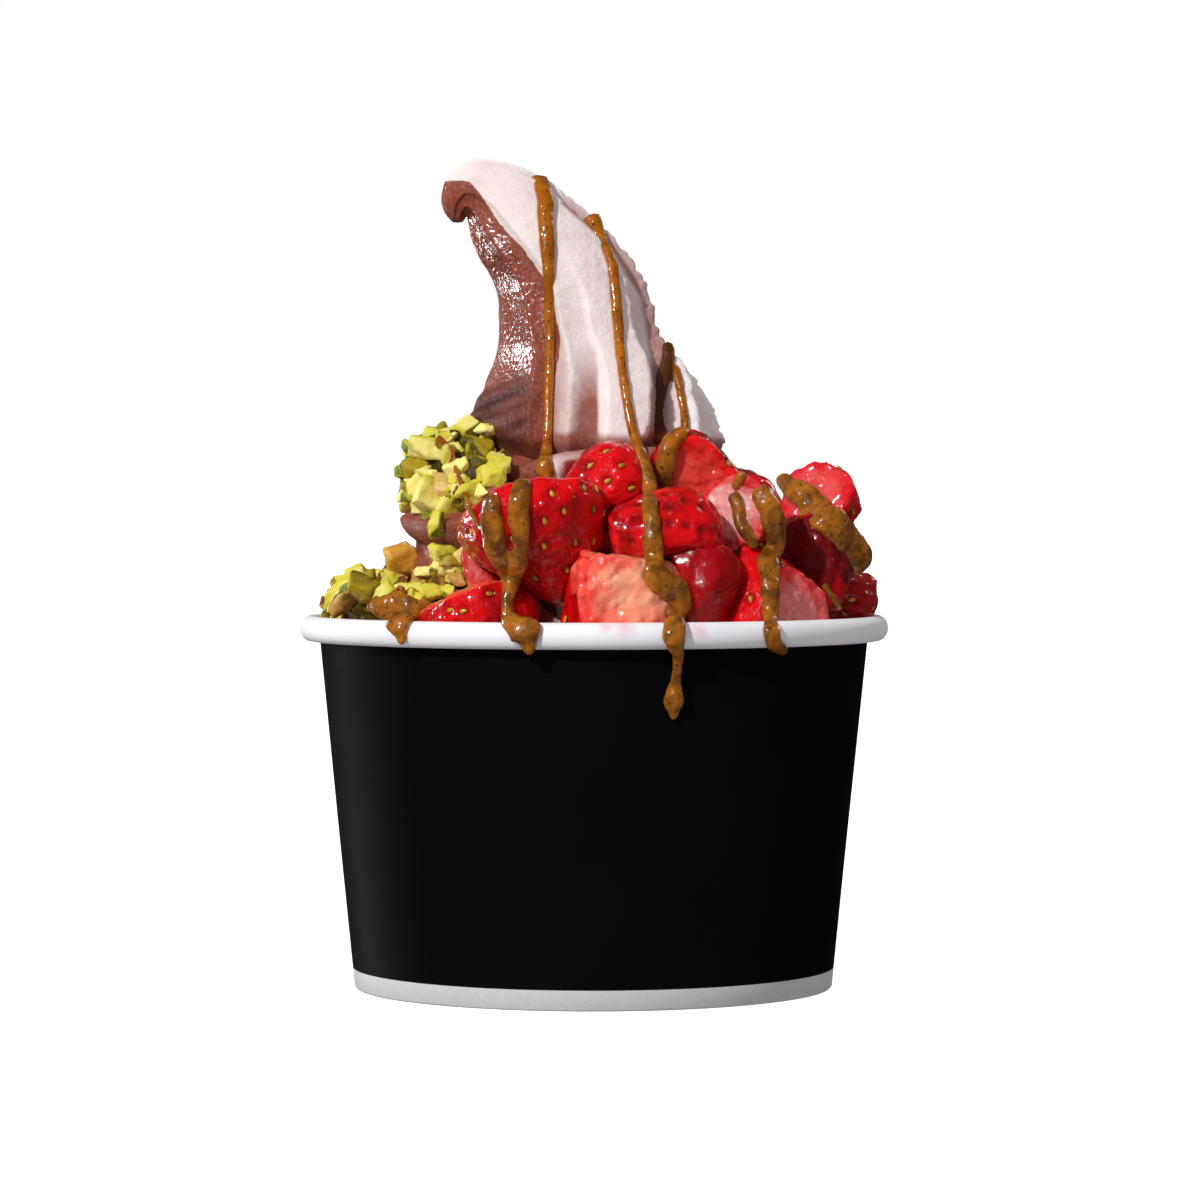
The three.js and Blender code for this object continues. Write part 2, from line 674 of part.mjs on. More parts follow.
function buildNodes() {
  const nodes = new Map();
  nodes.set("cup_wall", { body: cupWall(0), grown: cupWall(gap), colour: "cup_wall" });
  const whole = softServe(0);
  const wholeGrown = softServe(gap);
  let taken = nodes.get("cup_wall").grown.add(wholeGrown);
  [...strawberryPieces, ...backPieces()].forEach((piece) => {
    const body = mainPiece(strawberry(piece, 0).subtract(taken));
    const grown = strawberry(piece, gap);
    taken = taken.add(grown);
    nodes.set(`strawberry_${piece[0]}`, { body, grown, colour: "strawberry" });
  });
  Object.entries(banks).forEach(([name, bank]) => {
    const surface = [meshFor("rope", whole), meshFor("bank", bankCore(bank, 0))];
    const places = nutPlaces(bank, surface, randomFrom(bank.seed + 1));
    const body = mainPiece(nutBank(bank, places, 0).subtract(taken));
    nodes.set(`pistachio_${name}`, { body, grown: nutBank(bank, places, gap), colour: "pistachio" });
  });
  const left = mainPiece(whole.intersect(darkSide(0)));
  const right = mainPiece(whole.subtract(darkSide(gap)));
  const leftGrown = wholeGrown.intersect(darkSide(gap));
  const rightGrown = wholeGrown.subtract(darkSide(0));
  nodes.set("soft_serve_chocolate", { body: left, grown: leftGrown, colour: "chocolate" });
  nodes.set("soft_serve_vanilla", { body: right, grown: rightGrown, colour: "vanilla" });
  addSauce(nodes);
  nodes.set("cup_floor", { body: cupFloor(), colour: "cup_floor" });
  return nodes;
}

const sundae = new THREE.Group();
buildNodes().forEach(({ body, colour }, name) => {
  const [color, roughness] = colours[colour];
  const material = new THREE.MeshStandardMaterial({ color, roughness, metalness: 0 });
  const mesh = new THREE.Mesh(geometryOf(body), material);
  mesh.name = name;
  sundae.add(mesh);
});

export default sundae;
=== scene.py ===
import math
import random
import bpy
import numpy as np
from mathutils import Matrix, Vector, noise
from mathutils.bvhtree import BVHTree


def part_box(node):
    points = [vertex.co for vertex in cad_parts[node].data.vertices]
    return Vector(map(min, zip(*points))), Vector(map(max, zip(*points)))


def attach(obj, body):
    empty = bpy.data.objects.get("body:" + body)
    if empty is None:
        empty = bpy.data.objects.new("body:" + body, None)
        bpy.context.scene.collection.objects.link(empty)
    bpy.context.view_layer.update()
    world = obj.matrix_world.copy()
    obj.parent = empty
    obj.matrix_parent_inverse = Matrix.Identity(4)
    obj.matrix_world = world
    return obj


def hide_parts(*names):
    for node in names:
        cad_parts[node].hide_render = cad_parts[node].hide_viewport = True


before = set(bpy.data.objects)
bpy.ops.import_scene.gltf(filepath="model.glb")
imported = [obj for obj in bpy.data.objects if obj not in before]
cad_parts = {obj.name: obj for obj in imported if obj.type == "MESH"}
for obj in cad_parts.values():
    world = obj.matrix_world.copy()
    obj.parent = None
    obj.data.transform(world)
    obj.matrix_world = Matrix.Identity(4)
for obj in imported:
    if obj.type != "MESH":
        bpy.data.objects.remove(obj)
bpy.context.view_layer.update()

# Twist sundae in a paper cup. The lists below are in millimetres, Blender works in metres.
mm = 0.001
wallLow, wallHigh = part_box("cup_wall")
rimRadius = (wallHigh.x - wallLow.x) / 2
# the wall's box also holds the sauce on it, which may reach a little over the rim
rimTop = min(wallHigh.z, 0.0606)
eye = Vector((1.1, -750, 80.3)) * mm


def clearSelection():
    if bpy.context.object and bpy.context.object.mode != "OBJECT":
        bpy.ops.object.mode_set(mode="OBJECT")
    bpy.ops.object.select_all(action="DESELECT")


def pick(piece):
    clearSelection()
    piece.select_set(True)
    bpy.context.view_layer.objects.active = piece


def nameIt(name):
    piece = bpy.context.object
    piece.name = piece.data.name = name
    return piece


def readPoints(piece):
    points = np.empty(len(piece.data.vertices) * 3)
    piece.data.vertices.foreach_get("co", points)
    return points.reshape(-1, 3)


def placePoints(piece, points):
    piece.data.vertices.foreach_set("co", np.asarray(points, dtype=np.float32).ravel())
    piece.data.update()


def readNormals(piece):
    normals = np.empty(len(piece.data.vertices) * 3)
    piece.data.vertices.foreach_get("normal", normals)
    return normals.reshape(-1, 3)


def giveValue(piece, name, values):
    layer = piece.data.attributes.get(name) or piece.data.attributes.new(name, "FLOAT", "POINT")
    layer.data.foreach_set("value", np.asarray(values, dtype=np.float32))


def giveColour(piece, name, colours):
    layer = piece.data.attributes.get(name) or piece.data.attributes.new(name, "FLOAT_COLOR", "POINT")
    layer.data.foreach_set("color", np.asarray(colours, dtype=np.float32).ravel())


def apply(piece, kind, **settings):
    pick(piece)
    step = piece.modifiers.new(kind.title(), kind)
    for key, value in settings.items():
        setattr(step, key, value)
    bpy.ops.object.modifier_apply(modifier=step.name)


def faceOut(piece):
    pick(piece)
    bpy.ops.object.mode_set(mode="EDIT")
    bpy.ops.mesh.select_all(action="SELECT")
    bpy.ops.mesh.normals_make_consistent(inside=False)
    bpy.ops.object.mode_set(mode="OBJECT")


def smoothShade(piece, degrees=180):
    pick(piece)
    if degrees >= 180:
        bpy.ops.object.shade_smooth()
    else:
        bpy.ops.object.shade_smooth_by_angle(angle=math.radians(degrees))


def joinAll(pieces, name):
    clearSelection()
    for piece in pieces:
        piece.select_set(True)
    bpy.context.view_layer.objects.active = pieces[0]
    if len(pieces) > 1:
        bpy.ops.object.join()
    return nameIt(name)


def finishPiece(piece, nodes=()):
    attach(piece, "root")
    if nodes:
        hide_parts(*nodes)


def addBall(name, around, along):
    clearSelection()
    bpy.ops.mesh.primitive_uv_sphere_add(segments=around, ring_count=along, radius=1, location=(0, 0, 0))
    return nameIt(name)


# How far along and how far round each point of a ball is: 0 at its foot, 1 at its top.
def ballPlaces(piece):
    points = readPoints(piece)
    return np.arccos(np.clip(-points[:, 2], -1, 1)) / math.pi, np.arctan2(points[:, 1], points[:, 0])


# A smooth line through the stops as evenly spaced rows. Its length is taken over the first columns.
def smoothLine(stops, count, measured=2):
    stops = np.array(stops, dtype=float)
    ends = np.vstack([2 * stops[0] - stops[1], stops, 2 * stops[-1] - stops[-2]])
    fine = []
    for i in range(1, len(ends) - 2):
        a, b, c, d = ends[i - 1:i + 3]
        for t in np.linspace(0, 1, 24, endpoint=False):
            bend = (2 * a - 5 * b + 4 * c - d) * t ** 2 + (3 * b - a - 3 * c + d) * t ** 3
            fine.append(0.5 * (2 * b + (c - a) * t + bend))
    fine = np.array(fine + [stops[-1]])
    steps = np.linalg.norm(np.diff(fine[:, :measured], axis=0), axis=1)
    reach = np.concatenate([[0], np.cumsum(steps)])
    even = np.linspace(0, reach[-1], count)
    return np.stack([np.interp(even, reach, column) for column in fine.T], 1)


# Rounds a tube off: 1 before this share of its length, and down to 0 at its end.
def roundEnd(share, start, end):
    return np.sqrt(np.clip(1 - ((share - start) / (end - start)).clip(0, 1) ** 2, 0, 1))


def smoothStep(low, high, value):
    share = np.clip((np.asarray(value, dtype=float) - low) / (high - low), 0, 1)
    return share * share * (3 - 2 * share)


# One smooth grain per point, from -1 to 1, with bumps of about this size in metres.
def grain(points, size, seed=0):
    shift = Vector((seed * 7.3, seed * 3.1, seed * 5.7))
    return np.array([noise.noise(Vector(point) / size + shift) for point in points])


def treeOf(piece):
    mesh = piece.data
    mesh.calc_loop_triangles()
    triangles = np.empty(len(mesh.loop_triangles) * 3, dtype=np.int32)
    mesh.loop_triangles.foreach_get("vertices", triangles)
    return BVHTree.FromPolygons(readPoints(piece).tolist(), triangles.reshape(-1, 3).tolist())


def joinTrees(pieces):
    places = []
    faces = []
    for piece in pieces:
        piece.data.calc_loop_triangles()
        triangles = np.empty(len(piece.data.loop_triangles) * 3, dtype=np.int32)
        piece.data.loop_triangles.foreach_get("vertices", triangles)
        faces.append(triangles.reshape(-1, 3) + sum(len(part) for part in places))
        places.append(readPoints(piece))
    return BVHTree.FromPolygons(np.vstack(places).tolist(), np.vstack(faces).tolist())


# A colour as it is seen on a screen, 0 to 255, turned into the shader's own light values.
def paint(red, green, blue):
    values = [((v / 255 + 0.055) / 1.055) ** 2.4 if v > 10 else v / 255 / 12.92 for v in (red, green, blue)]
    return (*values, 1)


def newMaterial(name):
    material = bpy.data.materials.new(name)
    material.use_nodes = True
    tree = material.node_tree
    tree.nodes.clear()
    output = tree.nodes.new("ShaderNodeOutputMaterial")
    shader = tree.nodes.new("ShaderNodeBsdfPrincipled")
    tree.links.new(shader.outputs["BSDF"], output.inputs["Surface"])
    return material, tree, shader


def addNode(tree, kind, inputs=None, **settings):
    node = tree.nodes.new(kind)
    for key, value in settings.items():
        setattr(node, key, value)
    for key, value in (inputs or {}).items():
        if isinstance(value, bpy.types.NodeSocket):
            tree.links.new(value, node.inputs[key])
        else:
            node.inputs[key].default_value = value
    return node


def setSockets(shader, values):
    for name, value in values.items():
        shader.inputs[name].default_value = value


def objectPlace(tree):
    return addNode(tree, "ShaderNodeTexCoord").outputs["Object"]


def noiseAt(tree, size, detail=3, rough=0.6, twist=0):
    inputs = {"Vector": objectPlace(tree), "Scale": 1 / size, "Detail": detail, "Roughness": rough,
              "Distortion": twist}
    return addNode(tree, "ShaderNodeTexNoise", inputs).outputs["Fac"]


def readValue(tree, name):
    return addNode(tree, "ShaderNodeAttribute", attribute_name=name).outputs["Fac"]


def readColour(tree, name):
    return addNode(tree, "ShaderNodeAttribute", attribute_name=name).outputs["Color"]


def mixColour(tree, share, first, second):
    inputs = {0: share, 6: first, 7: second}
    return addNode(tree, "ShaderNodeMix", inputs, data_type="RGBA").outputs[2]


def combine(tree, first, second, operation="ADD"):
    return addNode(tree, "ShaderNodeMath", {0: first, 1: second}, operation=operation).outputs[0]


def between(tree, value, low, high, toLow=0.0, toHigh=1.0):
    inputs = {"Value": value, "From Min": low, "From Max": high, "To Min": toLow, "To Max": toHigh}
    return addNode(tree, "ShaderNodeMapRange", inputs).outputs["Result"]


def addBump(tree, shader, height, distance, strength=1.0, before=None):
    inputs = {"Height": height, "Distance": distance, "Strength": strength}
    if before:
        inputs["Normal"] = before
    bump = addNode(tree, "ShaderNodeBump", inputs).outputs["Normal"]
    tree.links.new(bump, shader.inputs["Normal"])
    tree.links.new(bump, shader.inputs["Coat Normal"])
    return bump


# Small domes of juice, this far apart in metres, each reaching over this share of the distance.
def dropsAt(tree, apart, reach):
    inputs = {"Vector": objectPlace(tree), "Scale": 1 / apart}
    away = addNode(tree, "ShaderNodeTexVoronoi", inputs).outputs["Distance"]
    return between(tree, combine(tree, away, away, "MULTIPLY"), reach ** 2, 0)


def softServeFinish():
    material, tree, shader = newMaterial("softServeTwist")
    chocolate = readValue(tree, "chocolate")
    icy = noiseAt(tree, 0.0006, 2, 0.6)
    cloud = noiseAt(tree, 0.006, 3, 0.55)
    swirl = noiseAt(tree, 0.003, 3, 0.5, 1.5)
    edge = combine(tree, chocolate, combine(tree, noiseAt(tree, 0.0016, 4), -0.5), "ADD")
    dark = between(tree, edge, 0.36, 0.64)
    cream = mixColour(tree, between(tree, cloud, 0.35, 0.7), paint(243, 230, 225), paint(234, 216, 214))
    # painted highlight: the cream is lighter on the crests
    cream = mixColour(tree, readValue(tree, "crest"), cream, paint(248, 240, 238))
    spread = combine(tree, combine(tree, swirl, -0.5), 0.35, "MULTIPLY")
    # vanilla tinged brown by chocolate, and darkened as painted shade beside the crests and at the peak's
    # foot
    tingeAndShade = between(tree, combine(tree, readValue(tree, "tingeAndShade"), spread), 0.05, 1.0)
    cream = mixColour(tree, combine(tree, tingeAndShade, 0.95, "MULTIPLY"), cream, paint(152, 84, 68))
    cream = mixColour(tree, readValue(tree, "juice"), cream, paint(140, 6, 18))
    brown = mixColour(tree, between(tree, cloud, 0.35, 0.7), paint(148, 76, 58), paint(122, 57, 43))
    brown = mixColour(tree, between(tree, icy, 0.45, 0.75), brown, paint(164, 95, 78))
    # painted shade: the chocolate turns much darker in the folds and creases
    brown = mixColour(tree, readValue(tree, "foldShade"), brown, paint(70, 28, 16))
    tree.links.new(mixColour(tree, dark, cream, brown), shader.inputs["Base Color"])
    wet = between(tree, noiseAt(tree, 0.0008, 2), 0.4, 0.62, 0.2, 0.38)
    glaze = combine(tree, dark, readValue(tree, "glaze"), "MULTIPLY")
    glaze = combine(tree, glaze, between(tree, readValue(tree, "foldShade"), 0, 0.5, 1, 0.2), "MULTIPLY")
    rough = between(tree, glaze, 0, 1, 0.58, wet)
    tree.links.new(rough, shader.inputs["Roughness"])
    tree.links.new(glaze, shader.inputs["Coat Weight"])
    setSockets(shader, {"Coat Roughness": 0.16, "Specular IOR Level": 0.2, "Subsurface Weight": 0.15,
        "Subsurface Radius": (1.0, 0.7, 0.6), "Subsurface Scale": 0.0015})
    frost = mixColour(tree, dark, icy, noiseAt(tree, 0.0007, 1, 0.4))
    first = addBump(tree, shader, frost, 0.00016, 1.0)
    addBump(tree, shader, noiseAt(tree, 0.0022, 2, 0.5), 0.00016, 1.0, first)
    return material


def strawberryFinish():
    material, tree, shader = newMaterial("strawberryFlesh")
    skin = readValue(tree, "skin")
    core = readValue(tree, "core")
    pit = readValue(tree, "pit")
    rim = readColour(tree, "rimTint")
    heart = readColour(tree, "heartTint")
    cloud = noiseAt(tree, 0.0035, 4, 0.6, 0.6)
    fibre = addNode(tree, "ShaderNodeTexNoise", {
        "Vector": addNode(tree, "ShaderNodeCombineXYZ", {
            "X": combine(tree, readValue(tree, "fibre"), 9.0, "MULTIPLY"),
            "Y": combine(tree, core, 1.6, "MULTIPLY"),
            "Z": combine(tree, readValue(tree, "height"), 3.0, "MULTIPLY"),
        }).outputs[0], "Scale": 1.6, "Detail": 3.0,
    }).outputs["Fac"]
    streaks = combine(tree, combine(tree, fibre, -0.5), 1.5, "MULTIPLY")
    clouds = combine(tree, combine(tree, cloud, -0.5), 1.6, "MULTIPLY")
    paleness = combine(tree, combine(tree, core, streaks), clouds)
    flesh = mixColour(tree, between(tree, paleness, -0.3, 0.9), heart, rim)
    red = mixColour(tree, between(tree, cloud, 0.3, 0.7), paint(240, 6, 12), paint(196, 0, 10))
    # darker red in the pits: painted shade in the hollows, which on the seedless pieces also stands for their
    # small dark seeds
    red = mixColour(tree, combine(tree, pit, 0.85, "MULTIPLY"), red, paint(120, 2, 4))
    wander = combine(tree, combine(tree, cloud, -0.5), 0.5, "MULTIPLY")
    edge = between(tree, combine(tree, skin, wander), 0.3, 0.62)
    tone = between(tree, noiseAt(tree, 0.007, 2), 0.45, 0.62, 0, 0.6)
    # painted shade darkens the skin and flesh of pieces and faces that lie in shade
    paintedShade = readValue(tree, "paintedShade")
    red = mixColour(tree, combine(tree, tone, paintedShade, "MAXIMUM"), red, paint(112, 0, 6))
    flesh = mixColour(tree, combine(tree, paintedShade, 0.6, "MULTIPLY"), flesh, paint(120, 2, 10))
    tree.links.new(mixColour(tree, edge, flesh, red), shader.inputs["Base Color"])
    tree.links.new(between(tree, edge, 0, 1, 0.5, 0.45), shader.inputs["Roughness"])
    setSockets(shader, {"Specular IOR Level": 0.08, "Subsurface Weight": 0.4,
        "Subsurface Radius": (1.0, 0.2, 0.14), "Subsurface Scale": 0.0025, "Coat Weight": 1.0,
        "Coat Roughness": 0.06})
    calm = between(tree, noiseAt(tree, 0.005, 1), 0.4, 0.6, 0.25, 1)
    dew = combine(tree, noiseAt(tree, 0.0012, 1, 0.4), calm, "MULTIPLY")
    first = addBump(tree, shader, dew, 0.0003, 0.8)
    second = addBump(tree, shader, dropsAt(tree, 0.0017, 0.45), 0.00018, 1.0, first)
    addBump(tree, shader, fibre, 0.0003, 0.4, second)
    return material


def seedFinish():
    material, tree, shader = newMaterial("strawberrySeed")
    tint = noiseAt(tree, 0.004, 1)
    gold = mixColour(tree, between(tree, tint, 0.35, 0.65), paint(214, 150, 26), paint(156, 112, 20))
    tree.links.new(gold, shader.inputs["Base Color"])
    setSockets(shader, {"Roughness": 0.3, "Coat Weight": 0.7, "Coat Roughness": 0.08})
    addBump(tree, shader, noiseAt(tree, 0.0004, 2), 0.00006, 0.5)
    return material


def pistachioFinish():
    material, tree, shader = newMaterial("pistachioCut")
    tint = readColour(tree, "nutTint")
    fleck = noiseAt(tree, 0.0009, 4, 0.7)
    cloud = noiseAt(tree, 0.0026, 3)
    greener = mixColour(tree, 0.55, tint, paint(150, 150, 34))
    colour = mixColour(tree, between(tree, fleck, 0.52, 0.8), tint, greener)
    paler = mixColour(tree, 0.5, tint, paint(250, 240, 168))
    colour = mixColour(tree, between(tree, cloud, 0.55, 0.75), colour, paler)
    tree.links.new(colour, shader.inputs["Base Color"])
    setSockets(shader, {"Roughness": 0.45, "Specular IOR Level": 0.2, "Subsurface Weight": 0.05,
        "Subsurface Radius": (0.9, 0.8, 0.3), "Subsurface Scale": 0.001})
    first = addBump(tree, shader, fleck, 0.0002, 0.7)
    addBump(tree, shader, noiseAt(tree, 0.0035, 2), 0.0004, 0.5, first)
    return material


def sauceFinish():
    material, tree, shader = newMaterial("thickSauce")
    thin = readValue(tree, "thin")
    deep = readValue(tree, "deep")
    cloud = noiseAt(tree, 0.004, 4, 0.6, 0.8)
    speck = noiseAt(tree, 0.00055, 2, 0.5)
    thick = mixColour(tree, between(tree, cloud, 0.38, 0.62), paint(178, 108, 26), paint(112, 66, 14))
    amber = mixColour(tree, between(tree, cloud, 0.35, 0.7), paint(184, 108, 12), paint(136, 72, 6))
    colour = mixColour(tree, thin, thick, amber)
    # painted shade: the strand inside the groove turns dark brown
    colour = mixColour(tree, deep, colour, paint(84, 44, 14))
    colour = mixColour(tree, between(tree, speck, 0.63, 0.7), colour, paint(52, 30, 12))
    tree.links.new(colour, shader.inputs["Base Color"])
    setSockets(shader, {"Roughness": 0.35, "Specular IOR Level": 0.15, "Subsurface Weight": 0.15,
        "Subsurface Radius": (1.0, 0.5, 0.2), "Subsurface Scale": 0.001, "Coat Weight": 1.0,
        "Coat Roughness": 0.08})
    first = addBump(tree, shader, noiseAt(tree, 0.0016, 1, 0.4), 0.00016, 0.8)
    addBump(tree, shader, dropsAt(tree, 0.002, 0.42), 0.00015, 1.0, first)
    return material


def printedPaperFinish():
    material, tree, shader = newMaterial("printedPaper")
    fibre = noiseAt(tree, 0.0005, 4, 0.7)
    cloud = noiseAt(tree, 0.02, 2)
    black = mixColour(tree, between(tree, cloud, 0.3, 0.7), paint(13, 13, 14), paint(10, 10, 11))
    tree.links.new(black, shader.inputs["Base Color"])
    tree.links.new(between(tree, fibre, 0.3, 0.7, 0.42, 0.56), shader.inputs["Roughness"])
    shader.inputs["Specular IOR Level"].default_value = 0.01
    addBump(tree, shader, fibre, 0.00004, 0.5)
    return material


# where berry juice has run over the rim: place and reach
juiceDrops = [
    ((16.5, -45.2, 59.4), 1.3), ((5, -47.2, 60), 1.5), ((2, -47.6, 60.2), 1.2), ((27.6, -38.6, 60.4), 1),
]


def whitePaperFinish():
    material, tree, shader = newMaterial("whitePaper")
    fibre = noiseAt(tree, 0.0006, 4, 0.7)
    cloud = noiseAt(tree, 0.012, 2)
    white = mixColour(tree, between(tree, cloud, 0.3, 0.7), paint(250, 250, 252), paint(244, 244, 248))
    for place, reach in juiceDrops:
        inputs = {0: objectPlace(tree), 1: Vector(place) * mm}
        apart = addNode(tree, "ShaderNodeVectorMath", inputs, operation="DISTANCE").outputs["Value"]
        apart = combine(tree, apart, combine(tree, noiseAt(tree, 0.002, 2), 0.0016, "MULTIPLY"))
        wet = between(tree, apart, reach * 0.6 * mm, reach * 2 * mm, 0.5, 0)
        white = mixColour(tree, wet, white, paint(238, 150, 160))
    tree.links.new(white, shader.inputs["Base Color"])
    tree.links.new(between(tree, fibre, 0.3, 0.7, 0.45, 0.6), shader.inputs["Roughness"])
    setSockets(shader, {"Subsurface Weight": 0.05, "Subsurface Scale": 0.0006})
    addBump(tree, shader, fibre, 0.00005, 0.6)
    return material


def basePaperFinish():
    material, tree, shader = newMaterial("barePaperBaseShaded")
    fibre = noiseAt(tree, 0.0006, 4, 0.7)
    # light grey: the bare paper's own tone, darkened as painted shade round the cup's foot
    grey = mixColour(tree, between(tree, fibre, 0.3, 0.7), paint(214, 214, 212), paint(202, 202, 201))
    tree.links.new(grey, shader.inputs["Base Color"])
    shader.inputs["Roughness"].default_value = 0.6
    addBump(tree, shader, fibre, 0.00005, 0.6)
    return material


print("materials: ready")


# Cup: a paper cone with a rolled rim, white inside, and a bare band round its foot.
cup = {
    "footRadius": 38.95, "flare": 0.1009, "paper": 0.8, "around": 192,
    "bareBand": 3.3, "rollWidth": 3.3, "rollHeight": 4.1, "rollSteps": 16,
    "rollFrom": -146, "rollTurn": 296, "whiteFrom": 56.5,
    "seamAt": 96, "seamWidth": 7, "seamStep": 0.32,
}


# the wall's radius at a height
def outerWall(z):
    return cup["footRadius"] + cup["flare"] * z


def cupProfile():
    height = rimTop / mm
    rollX = rimRadius / mm - cup["rollWidth"] / 2
    rollZ = height - cup["rollHeight"] / 2
    edge = cup["bareBand"]
    rows = [[outerWall(0.25) - 0.25, 0]]
    rows += [[outerWall(z), z] for z in (0.3, edge, edge + 0.1, *np.linspace(8, 56.4, 13))]
    for i in range(cup["rollSteps"] + 1):
        angle = math.radians(cup["rollFrom"] + cup["rollTurn"] * i / cup["rollSteps"])
        rollOut = cup["rollWidth"] / 2 * math.cos(angle)
        rows.append([rollX + rollOut, rollZ + cup["rollHeight"] / 2 * math.sin(angle)])
    inside = [[outerWall(z) - cup["paper"], z] for z in np.linspace(57, 0, 8)]
    return rows + inside


# A ring is drawn out and scaled row by row.
def turnedShell(name, rows, around):
    clearSelection()
    first = rows[0]
    bpy.ops.mesh.primitive_circle_add(vertices=around, radius=first[0] * mm, location=(0, 0, first[1] * mm))
    piece = nameIt(name)
    bpy.ops.object.transform_apply(location=True)
    bpy.ops.object.mode_set(mode="EDIT")
    bpy.ops.mesh.select_all(action="SELECT")
    for (radius, z), (nextRadius, nextZ) in zip(rows, rows[1:]):
        bpy.ops.mesh.extrude_region_move(TRANSFORM_OT_translate={"value": (0, 0, (nextZ - z) * mm)})
        share = nextRadius / radius
        bpy.ops.transform.resize(value=(share, share, 1), center_override=(0, 0, nextZ * mm))
    bpy.ops.mesh.select_all(action="SELECT")
    bpy.ops.object.mode_set(mode="OBJECT")
    return piece


def makeCup():
    piece = turnedShell("cup_paper_wall", cupProfile(), cup["around"])
    bpy.ops.object.mode_set(mode="EDIT")
    bpy.ops.mesh.select_all(action="DESELECT")
    bpy.ops.mesh.select_non_manifold()
    bpy.ops.mesh.bridge_edge_loops()
    bpy.ops.object.mode_set(mode="OBJECT")
    points = readPoints(piece)
    degrees = np.degrees(np.arctan2(points[:, 1], points[:, 0]))
    reach = np.hypot(points[:, 0], points[:, 1])
    onSeam = smoothStep(cup["seamWidth"] / 2 + 0.5, cup["seamWidth"] / 2, np.abs(degrees - cup["seamAt"]))
    outside = reach > (outerWall(0) - 0.4) * mm + cup["flare"] * points[:, 2]
    step = onSeam * outside * cup["seamStep"] * mm
    wave = 0.00012 * np.sin(np.radians(degrees) * 3 + 1) * smoothStep(0.02, 0.06, points[:, 2])
    points[:, :2] *= (1 + (step + wave) / reach)[:, None]
    placePoints(piece, points)
    faceOut(piece)
    for finish in (printedPaperFinish(), whitePaperFinish(), basePaperFinish()):
        piece.data.materials.append(finish)
    for face in piece.data.polygons:
        z = face.center.z / mm
        reach = math.hypot(face.center.x, face.center.y) / mm
        outside = reach > outerWall(z) - 0.45
        if outside and z < cup["bareBand"]:
            face.material_index = 2
        elif not outside or z > cup["whiteFrom"]:
            face.material_index = 1
    smoothShade(piece, 50)
    finishPiece(piece, ["cup_wall"])
    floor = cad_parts["cup_floor"]
    floor.data.materials.clear()
    floor.data.materials.append(piece.data.materials[1])
    return piece


cupPiece = makeCup()
print("cup: wall, rolled rim and seam")


# Soft serve: the fill, two laps of rope and the bent peak, joined as one twist.
peak = {
    # each section's middle as x and height, its radius, and how far it leans to the left in degrees
    "line": [
        [0.5, 72, 13, 0], [0.5, 80, 14, -3], [0.5, 85, 16.2, -4], [0.5, 87.8, 19.4, -4.5],
        [0.45, 90.2, 21, -4.5], [0.55, 93.8, 20, -3.5], [0.45, 97.2, 18.4, -2], [0.1, 100.6, 16.7, -1.4],
        [-0.8, 103.5, 14.9, -1], [-2, 106.6, 13.4, 0], [-2.6, 109.9, 12.8, 3], [-3.4, 113.2, 12.2, 5.7],
        [-4.7, 116, 11.6, 8.2], [-6.5, 118.6, 11, 12], [-8.5, 121.1, 10.3, 17], [-10.8, 123.8, 9.2, 24],
        [-13.2, 126.4, 8.1, 33], [-15.5, 128.4, 6.7, 45], [-17.9, 129.7, 5.5, 62], [-20.4, 130.2, 4.7, 88],
        [-22.1, 129.1, 4, 109], [-22.9, 127.2, 3, 127], [-23, 125.7, 2.1, 144], [-22.9, 124.6, 1.3, 153],
    ],
    # crests and grooves in turn: angle from the front at the foot, turn by the tip,
    # depth at the foot and at the tip
    "ribs": [
        [-31, -12, 0, 0], [-22, -2, 0.12, 0.1], [-13, 0, 0, 0], [0.5, 6, 0.16, 0.02], [3.5, 8, 0.02, 0.02],
        [17, 40, 0, 0], [37, 33, 0.26, 0.2], [50, 38, 0, 0], [68, 48, 0.18, 0.14], [88, 54, 0, 0],
        [107, 56, 0.15, 0.13], [128, 56, 0, 0], [147, 54, 0.15, 0.13], [168, 50, 0, 0],
        [188, 45, 0.15, 0.13], [208, 40, 0, 0], [226, 30, 0.13, 0.1], [244, 20, 0, 0],
        [254, 14, 0.06, 0.05], [265, 10, 0, 0], [297, 0, 0.12, 0.12],
    ],
    "sharpness": 1.7, "crestWidth": 2.6, "foot": 90, "rise": 36, "ease": 0.75, "frontDip": 0.09,
    "around": 256, "along": 196,
}
rope = {
    "centreX": -0.6, "laps": [0, 1.25, 2, 2.28],
    # at each of those laps
    "radius": [29.2, 19.4, 14.4, 15], "height": [50.2, 74.4, 78.8, 75],
    "tube": [13, 11.7, 11, 8.5],
    "ribs": 8, "depth": 0.24, "falling": 0.55, "sharpness": 1.7, "twist": 1.4, "around": 124, "along": 360,
}
fill = {
    "floor": 8.3, "shoulder": 56, "gap": 0.3, "around": 96,
    # its top, as rows of radius and height
    "crown": [[37, 60], [30, 60.8], [12, 61], [3, 61]],
}
# the third crest, seen from the front, as height and x: painted shade on the vanilla to its right
crestLine = [[88, 8.3], [93.4, 8.5], [102.3, 8.8], [112, 7.2], [119.8, 2.6], [127.2, -5.7]]
# the line where the flavours meet, seen from the front, as x and height
flavourEdge = [
    [-5, 0], [-6, 66], [-6.6, 91], [-5.9, 99], [-5.4, 106], [-5.9, 109.2], [-8.3, 115.6], [-9.8, 117.4],
    [-13, 121.8], [-16.8, 126.3], [-18.8, 129.4], [-20.2, 130.8], [-25, 131.4], [-30, 131.8], [-40, 145],
]


